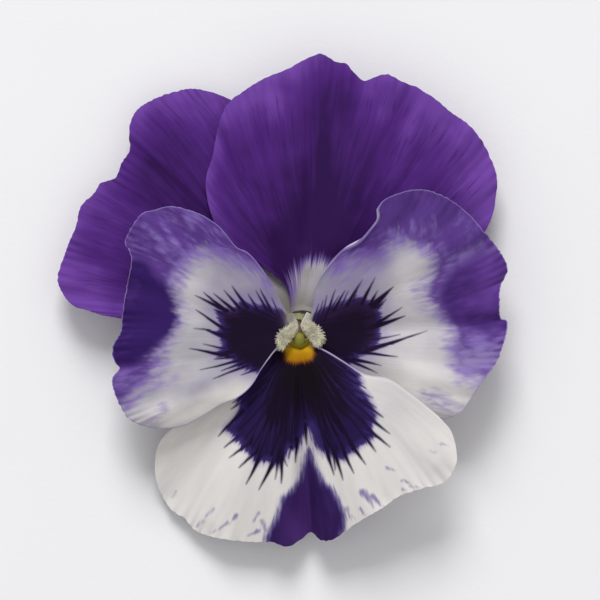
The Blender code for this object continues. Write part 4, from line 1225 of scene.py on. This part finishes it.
def upper_material(c):
    """Purple with darker veins and a pale feathered base, with painted light and shade: lighter towards
    the margin and darker towards the throat, where the other petals shade it.

    light = 0.29 + 0.5 * exp(-edge / 5 mm) + shade + veins, from dark purple through purple to light;
    the margin term and the shade patches are painted light and shade.
    """
    s, across, along = petal_shader("upper_petal", 0.35)
    edge, face, shade, base, green = s.fields("edge", "face", "shade", "base", "green")
    streak = s.grain(across * 38, along * 2.6, 3.0, 3.0)
    sway = streak + 0.5
    vein = s.grain(across * 120 + sway * 3, along * 5, 8.0)
    cloud = s.noise(s.place(), 140.0)
    # Painted light and shade: lighter towards the margin, darker towards the throat under the other petals
    margin = s.math("POWER", math.exp(-0.2), edge)
    light = 0.29 + 0.5 * margin + shade + streak * 0.45 + vein * 0.2 + cloud * 0.6
    body = s.mix(c.purple_dark, c.purple, s.ramp(light, 0.0, 0.5))
    body = s.mix(body, c.purple_light, s.ramp(light, 0.4, 1.0))
    thread = s.grain(across * 230 + sway * 8, along * 6, 14.0, 1.0)
    thread = s.ramp(thread, 0.06, 0.18) * s.ramp(cloud, -0.12, 0.05) * s.ramp(edge, 1.0, 4.0)
    body = s.mix(body, c.purple_dark, thread * 0.4)
    reach = base + (streak * 3.8 + vein * 2.4) * s.ramp(along, 0.02, 0.12)
    body = s.mix(body, c.lavender, s.ramp(reach, -1.2, 0.2) * 0.6)
    # Painted shade: the green patches darken the pale base where it goes into the throat
    body = s.mix(body, s.mix(c.base, c.base_in_shade, green + streak * 0.5), s.ramp(reach, -0.4, 0.9))
    back = s.mix(c.purple_light, c.base, 0.2 + 0.3 * s.ramp(along, 0.4, 0.0) + streak * 0.6)
    s.colour(s.mix(back, body, face))
    return s.material


def side_material(c):
    """White with a violet margin, a dark whiskered blotch and a pale rim.

    The white carries painted light and shade, the rim is partly a painted highlight along the lit
    edge, and painted shade darkens the base by the throat.
    """
    s, across, along = petal_shader("side_petal", 0.3)
    edge, face = s.fields("edge", "face")
    inside, lash, pale, deep, fleck = s.fields("blotch", "whisker", "pale", "deep", "fleck")
    shade, tone, dusk, haze, dim, olive = s.fields("shade", "tone", "dusk", "haze", "dim", "olive")
    line, curl, upright = s.fields("line", "curl", "upright")
    streak = s.grain(across * 34, along * 4, 1.0, 3.0)
    fine = s.grain(across * 130, along * 12, 5.0)
    cloud = s.noise(s.place(), 260.0)
    blob = s.grain(across * 48, along * 11, 7.0, 3.0)
    stretched = {"Vector": s.place(), "Location": (0, 0, 9), "Scale": (900, 300, 0)}
    tall = s.noise(s.node("ShaderNodeMapping", {}, stretched), 1.0, 3.0)
    blob = blob + (tall - blob) * s.math("MINIMUM", upright, 1.0)

    # Painted light and shade: the white starts in painted shade, and the shade patches paint it lighter and
    # darker in one fold
    body = s.mix(c.white_in_shade, c.white, shade + 0.1 + streak * 0.2 + cloud * 0.3)
    body = s.mix(body, c.haze, haze + streak * 0.6 * s.ramp(haze, 0.0, 0.5))
    wash = streak * 2.0 + blob * (4.5 + 5 * upright) + cloud * 4.0
    light = blob * 2.5 + streak * 0.6 + cloud * 1.2
    violet = s.mix(c.wash, c.lavender, s.ramp(light + tone * 0.6, -0.2, 1.1))
    violet = s.mix(c.violet, violet, 0.55 + 0.45 * s.ramp(light + tone * 0.3, -0.9, -0.1))
    violet = s.mix(violet, c.lavender, s.ramp(pale, 1.3, 0.0) * 0.6)
    body = s.mix(body, c.lavender, s.ramp(pale + wash, -2.6, -0.4) * 0.35)
    margin = s.ramp(pale + wash, -1.3, 1.3)
    body = s.mix(body, violet, margin * (0.94 - 0.32 * s.ramp(tone + light * 0.5, 0.8, 1.8)))
    body = s.mix(body, c.lavender, s.ramp(fleck + blob * 2.4 + fine * 1.2, -0.9, 0.9) * 0.65)
    deep = s.ramp(deep + wash * 0.35, -0.9, 0.9)
    body = s.mix(body, s.mix(c.violet, c.purple_light, tone * 0.7 + light * 0.25), deep)

    blotch = inside - 0.1 + fine * 1.1 + streak * 0.9
    lash = lash + fine * 0.12
    whisker = s.math("MAXIMUM", blotch, lash)
    body = s.mix(body, c.lavender, s.ramp(blotch + cloud * 2.5 + streak * 1.5, -2.2, -0.2) * 0.35)
    body = s.mix(body, c.violet, s.ramp(blotch + blob, -0.4, 0.0) * 0.45)
    body = s.mix(body, c.claw, s.ramp(along + streak * 0.04, 0.07, 0.01) * 0.85)
    body = s.mix(body, c.cream, s.ramp(along, -0.01, -0.07) * 0.3)
    body = s.mix(body, c.blotch_violet, s.ramp(whisker, -0.2, 0.05) * 0.6)
    core = s.ramp(inside - dusk + streak * 3.5 + fine * 1.5, -0.6, 1.6) * 0.95
    core = s.math("MAXIMUM", core, s.ramp(lash, 0.0, 0.2) * 0.8)
    dusky = s.mix(c.blotch_violet, c.blotch_plum, s.ramp(dusk, 0.1, 0.7) * 0.8)
    body = s.mix(body, s.mix(dusky, c.blotch, core), s.ramp(whisker, -0.07, 0.1))
    fringe = s.ramp(blotch, -0.45, 0.0) * s.ramp(blotch, 0.8, 0.1) * s.ramp(lash, 0.08, -0.1)
    body = s.mix(body, c.fringe, fringe * 0.6)
    # Painted shade where the side petal's base meets the throat
    body = s.mix(body, c.base_in_shade, dim)
    body = s.mix(body, c.eye_olive, olive)

    # Partly painted highlight: a pale line along the lit edge, set by the line and curl patches
    rim = s.ramp(edge, 0.17 + 0.5 * curl, 0.04) * (0.7 + 0.3 * line)
    rim = rim * s.math("MAXIMUM", s.ramp(along, 0.1, 0.4), line)
    painted_rim_highlight = 0.3 + 0.7 * s.math("MAXIMUM", line, curl)
    body = s.mix(body, s.mix(c.lavender, c.rim, painted_rim_highlight), rim)
    back = s.mix(c.white, c.lavender, margin * 0.5 + deep * 0.3 + streak * 0.3 + 0.03)
    s.colour(s.mix(back, body, s.math("MAXIMUM", face, s.ramp(edge, 0.35, 0.1))))
    return s.material


def lower_material(c):
    """White with a black and violet whiskered blotch, a purple wedge, flecks and a yellow eye.

    The white has painted shade, the pale rim along the lower margin is partly a painted highlight,
    and painted light brightens the eye where the stigma and beards shade it.
    """
    s, across, along = petal_shader("lower_petal", 0.3)
    edge, face, shade, tone, violet = s.fields("edge", "face", "shade", "tone", "violet")
    blotch, lash, ray, fleck, wedge = s.fields("blotch", "whisker", "ray", "fleck", "wedge")
    eye, olive, painted_light = s.fields("eye", "olive", "painted_light")
    streak = s.grain(across * 44, along * 4, 2.0, 3.0)
    fine = s.grain(across * 170, along * 14, 6.0)
    cloud = s.noise(s.place(), 260.0)

    # Painted shade: mostly white, and the shade patches paint shade where the blade turns from the light
    body = s.mix(c.white_in_shade, c.white, shade + 0.92 + streak * 0.3)
    fleck = s.ramp(fleck + fine * 0.8 + cloud * 0.5, -0.25, 0.35)
    body = s.mix(body, s.mix(c.lavender, c.wash, 0.4), fleck * 0.8)
    wedge = wedge + fine * 1.2 + streak * 1.2
    body = s.mix(body, c.lavender, s.ramp(wedge, -0.9, 0.2) * 0.75)
    rich = s.mix(c.wedge, c.purple_light, tone * 0.42 + s.ramp(streak + cloud, -0.2, 0.6) * 0.15)
    body = s.mix(body, rich, s.ramp(wedge, -0.25, 0.5))
    body = s.mix(body, c.fringe, s.ramp(wedge, -0.6, 0.0) * s.ramp(wedge, 1.0, 0.1) * 0.6)

    blotch = blotch - 0.05 + fine * 1.2 + streak
    whisker = s.math("MAXIMUM", blotch, lash + fine * 0.12)
    body = s.mix(body, c.lavender, s.ramp(blotch + cloud * 1.2, -1.1, -0.1) * 0.55)
    body = s.mix(body, c.violet, s.ramp(blotch + cloud, -0.4, 0.0) * 0.35)
    body = s.mix(body, c.blotch_violet, s.ramp(whisker, -0.25, 0.05) * 0.7)
    gap = s.grain(across * 60, along * 1.5, 11.0)
    between = 0.35 + 0.6 * s.ramp(ray + gap * 0.3, 0.08, -0.16)
    between = between * s.ramp(violet + gap * 3.0 + fine * 1.2, 0.2, 1.3)
    black = s.mix(c.blotch, c.blotch_grey, s.ramp(s.off(3.2, -10.8, 9.0), 5.0, 1.5))
    body = s.mix(body, s.mix(black, c.blotch_violet, between), s.ramp(whisker, -0.06, 0.12))
    fringe = s.ramp(blotch, -0.5, 0.0) * s.ramp(blotch, 1.3, 0.1) * s.ramp(lash, 0.08, -0.1)
    body = s.mix(body, c.fringe, fringe * 0.7)

    ragged = s.grain(across * 130, along * 3, 4.0, 1.0) * 1.5
    eye = eye + fine * 0.3 + ragged
    yellow = s.mix(c.eye, c.eye_rust, s.ramp(eye + streak * 0.8, 0.75, 0.0) * 0.4)
    # Painted light: the eye made brighter where the stigma and beards shade it
    yellow = s.mix(yellow, c.eye_in_painted_light, painted_light)
    yellow = s.mix(yellow, c.eye_olive, olive + cloud * 0.3)
    body = s.mix(body, c.eye_rust, s.ramp(eye, -0.3, 0.1) * 0.85)
    body = s.mix(body, yellow, s.ramp(eye, -0.02, 0.35))
    # Partly painted highlight: a pale rim along the lit lower margin
    body = s.mix(body, c.rim, s.ramp(edge, 0.26, 0.1) * s.ramp(along, 0.7, 0.5) * 0.8)
    back = s.mix(c.white, c.lavender, s.ramp(wedge, -0.5, 0.6) * 0.6 + 0.13 + streak * 0.3)
    s.colour(s.mix(back, body, s.math("MAXIMUM", face, s.ramp(edge, 0.35, 0.1))))
    return s.material


def plain_material(name, colour, dark, scale, roughness=0.55):
    """Mottled living tissue: two tones mixed by fine and coarse noise, with a grain in relief."""
    s = Shader(name, Roughness=roughness)
    coarse = s.noise(s.place(), scale, 3.0)
    fine = s.noise(s.place(), scale * 6)
    s.colour(s.mix(shaded(colour, dark), colour, s.ramp(coarse * 0.6 + fine * 0.4, -0.15, 0.15)))
    s.bump(fine * 0.6 + coarse * 0.4, 0.4, 0.1)
    return s.material


def pistil_material(c):
    """Green stigma that turns into a brownish style behind it, darker in the cleft between the beards:
    partly the style's own brown, partly painted shade of the cleft.
    """
    s = Shader("pistil", Roughness=0.5, Specular_IOR_Level=0.2)
    mottle = s.noise(s.place(), 2500.0, 3.0)
    north = s.node("ShaderNodeSeparateXYZ", {}, {0: s.place()}, 1) * (1 / MM)
    green = s.mix(shaded(c.stigma, 0.75), c.stigma, mottle + 0.5)
    s.colour(s.mix(green, c.style, s.ramp(north + mottle, -5.0, -4.4)))
    s.bump(mottle, 0.3, 0.1)
    return s.material


def beard_material(c):
    """Cream hairs, olive beside the stigma and at the outer lower ends, lavender at the outer edge."""
    s = Shader("beard", Roughness=0.6, Specular_IOR_Level=0.1, Subsurface_Weight=0.1)
    mottle = s.noise(s.place(), 900.0, 3.0)
    fine = s.noise(s.place(), 5000.0)
    body = s.mix(shaded(c.cream, 0.7), c.cream, s.ramp(mottle * 0.6 + fine * 0.4, -0.15, 0.1))
    body = s.mix(body, c.stigma, s.ramp(s.off(2.4, -6.6, 10.8) + mottle * 1.2, 2.3, 1.0) * 0.6)
    ends = s.math("MINIMUM", s.off(-1.5, -7.3, 11.0), s.off(6.5, -6.7, 10.8))
    body = s.mix(body, c.stigma, s.ramp(ends + mottle * 0.8, 1.8, 0.6) * 0.75)
    body = s.mix(body, c.lavender, s.ramp(s.off(2.4, -6.0, 10.8), 3.4, 4.3) * 0.25)
    s.colour(body)
    s.bump(fine, 0.4, 0.1)
    return s.material


class PANSY_OT_upper_petals(bpy.types.Operator):
    """Make the two purple upper petals"""

    bl_idname = "pansy.upper_petals"
    bl_label = "Upper petals"

    def execute(self, context):
        material = upper_material(context.scene.pansy_colours)
        for name in ("petal_upper_left", "petal_upper_right"):
            make_petal(name, material, context.scene.pansy_shape, claw_solid(name))
        return {"FINISHED"}


class PANSY_OT_side_petals(bpy.types.Operator):
    """Make the two side petals with their violet margins and blotches"""

    bl_idname = "pansy.side_petals"
    bl_label = "Side petals"

    def execute(self, context):
        material = side_material(context.scene.pansy_colours)
        for name in ("petal_side_left", "petal_side_right"):
            make_petal(name, material, context.scene.pansy_shape, claw_solid(name))
        return {"FINISHED"}


class PANSY_OT_lower_petal(bpy.types.Operator):
    """Make the lower petal with its eye, its wedge and its hollow spur"""

    bl_idname = "pansy.lower_petal"
    bl_label = "Lower petal"

    def execute(self, context):
        material = lower_material(context.scene.pansy_colours)
        make_petal("petal_lower", material, context.scene.pansy_shape, spur_solid())
        return {"FINISHED"}


class PANSY_OT_sepals(bpy.types.Operator):
    """Make the five sepals under the petals"""

    bl_idname = "pansy.sepals"
    bl_label = "Sepals"

    def execute(self, context):
        material = plain_material("sepal", context.scene.pansy_colours.sepal, 0.55, 700.0)
        for number, (azimuth, lift) in enumerate(SEPALS, 1):
            solid = sepal_solid(azimuth, lift)
            make_piece(f"green_sepal_{number}", solid, f"sepal_{number}", material)
        return {"FINISHED"}


class PANSY_OT_stalk(bpy.types.Operator):
    """Make the cut stalk and the receptacle"""

    bl_idname = "pansy.stalk"
    bl_label = "Stalk"

    def execute(self, context):
        material = plain_material("stalk", context.scene.pansy_colours.stalk, 0.6, 900.0, roughness=0.45)
        rings, sides = STALK_DIVISIONS
        path = around(STALK_AZIMUTH, *np.array(STALK_BEND).T)
        solid = tube(path, smooth_line(STALK_PROFILE, rings), sides)
        make_piece("green_stalk", solid, "flower_stalk", material)
        return {"FINISHED"}


class PANSY_OT_pistil(bpy.types.Operator):
    """Make the pistil with its round stigma"""

    bl_idname = "pansy.pistil"
    bl_label = "Pistil"

    def execute(self, context):
        rings, sides = PISTIL_DIVISIONS
        solid = tube(PISTIL_PATH, smooth_line(PISTIL_PROFILE, rings), sides)
        make_piece("green_pistil", solid, "pistil", pistil_material(context.scene.pansy_colours))
        return {"FINISHED"}


class PANSY_OT_stamens(bpy.types.Operator):
    """Make the five stamens, two with a nectar tail"""

    bl_idname = "pansy.stamens"
    bl_label = "Stamens"

    def execute(self, context):
        material = plain_material("stamen", context.scene.pansy_colours.anther, 0.7, 1800.0)
        for number, azimuth in enumerate(STAMEN_AZIMUTHS, 1):
            solid = stamen_solid(azimuth)
            make_piece(f"cream_stamen_{number}", solid, f"stamen_{number}", material)
        return {"FINISHED"}


class PANSY_OT_beards(bpy.types.Operator):
    """Make the tufts of cream hairs at the throat"""

    bl_idname = "pansy.beards"
    bl_label = "Beards"

    def execute(self, context):
        material = beard_material(context.scene.pansy_colours)
        chance = np.random.default_rng(7)
        for name, beard in BEARDS.items():
            solid = beard_solid(beard, context.scene.pansy_shape, chance)
            make_piece(f"cream_{name}", solid, name, material)
        return {"FINISHED"}


class PANSY_OT_stage(bpy.types.Operator):
    """Make the pale floor, the soft light and the camera straight above"""

    bl_idname = "pansy.stage"
    bl_label = "Stage"

    def execute(self, context):
        stage = context.scene.pansy_stage
        s = Shader("floor", Roughness=0.9)
        mottle = s.noise(s.place(), 60.0, 3.0)
        s.colour(s.mix(shaded(stage.floor, 0.99), shaded(stage.floor, 1.01), mottle + 0.5))
        s.bump(s.noise(s.place(), 1500.0), 0.1, 0.2)
        mesh = bpy.data.meshes.new("floor")
        corners = [(x * FLOOR_HALF, y * FLOOR_HALF, 0) for x, y in ((-1, -1), (1, -1), (1, 1), (-1, 1))]
        mesh.from_pydata(corners, [], [(0, 1, 2, 3)])
        mesh.materials.append(s.material)
        floor = bpy.data.objects.new("floor", mesh)
        context.scene.collection.objects.link(floor)

        lamp = bpy.data.lights.new("key", "AREA")
        lamp.shape = "SQUARE"
        lamp.size = stage.key_size
        lamp.energy = stage.key_power
        key = bpy.data.objects.new("key", lamp)
        level = KEY_DISTANCE * math.cos(stage.key_elevation)
        key.location = (level * math.cos(stage.key_azimuth), level * math.sin(stage.key_azimuth),
                        KEY_DISTANCE * math.sin(stage.key_elevation))
        key.rotation_mode = "QUATERNION"
        key.rotation_quaternion = key.location.to_track_quat("Z", "Y")
        context.scene.collection.objects.link(key)

        world = bpy.data.worlds.new("studio")
        world.use_nodes = True
        world.node_tree.nodes["Background"].inputs["Color"].default_value = (1, 1, 1, 1)
        world.node_tree.nodes["Background"].inputs["Strength"].default_value = stage.fill
        context.scene.world = world

        lens = bpy.data.cameras.new("camera")
        lens.sensor_width = 36.0
        lens.lens = lens.sensor_width * (stage.camera_height - VIEW_HEIGHT * MM) / stage.frame_width
        lens.clip_start = 0.1
        lens.clip_end = 20.0
        camera = bpy.data.objects.new("camera", lens)
        camera.location = (VIEW_CENTRE[0] * MM, VIEW_CENTRE[1] * MM, stage.camera_height)
        context.scene.collection.objects.link(camera)
        context.scene.camera = camera
        context.scene.view_settings.view_transform = "Standard"
        context.scene.view_settings.look = "None"
        return {"FINISHED"}


PIECES = ("stage", "upper_petals", "side_petals", "lower_petal", "sepals", "stalk", "pistil", "stamens",
          "beards")


class PANSY_PT_panel(bpy.types.Panel):
    """Lists the steps that build the bloom"""

    bl_label = "Pansy"
    bl_idname = "PANSY_PT_panel"
    bl_space_type = "VIEW_3D"
    bl_region_type = "UI"
    bl_category = "Pansy"

    def draw(self, context):
        for piece in PIECES:
            self.layout.operator(f"pansy.{piece}")


SETTINGS = {"pansy_shape": PansyShape, "pansy_colours": PansyColours, "pansy_stage": PansyStage}
CLASSES = (*SETTINGS.values(), PANSY_OT_stage, PANSY_OT_upper_petals, PANSY_OT_side_petals,
           PANSY_OT_lower_petal, PANSY_OT_sepals, PANSY_OT_stalk, PANSY_OT_pistil, PANSY_OT_stamens,
           PANSY_OT_beards, PANSY_PT_panel)


def register():
    """Register the classes and hang the settings on the scene."""
    for kind in CLASSES:
        bpy.utils.register_class(kind)
    for name, kind in SETTINGS.items():
        setattr(bpy.types.Scene, name, PointerProperty(type=kind))


def unregister():
    """Take the settings and the classes away again."""
    for name in SETTINGS:
        delattr(bpy.types.Scene, name)
    for kind in reversed(CLASSES):
        bpy.utils.unregister_class(kind)


def main():
    """Build the whole bloom."""
    register()
    for piece in PIECES:
        getattr(bpy.ops.pansy, piece)()


if __name__ == "__main__":
    main()
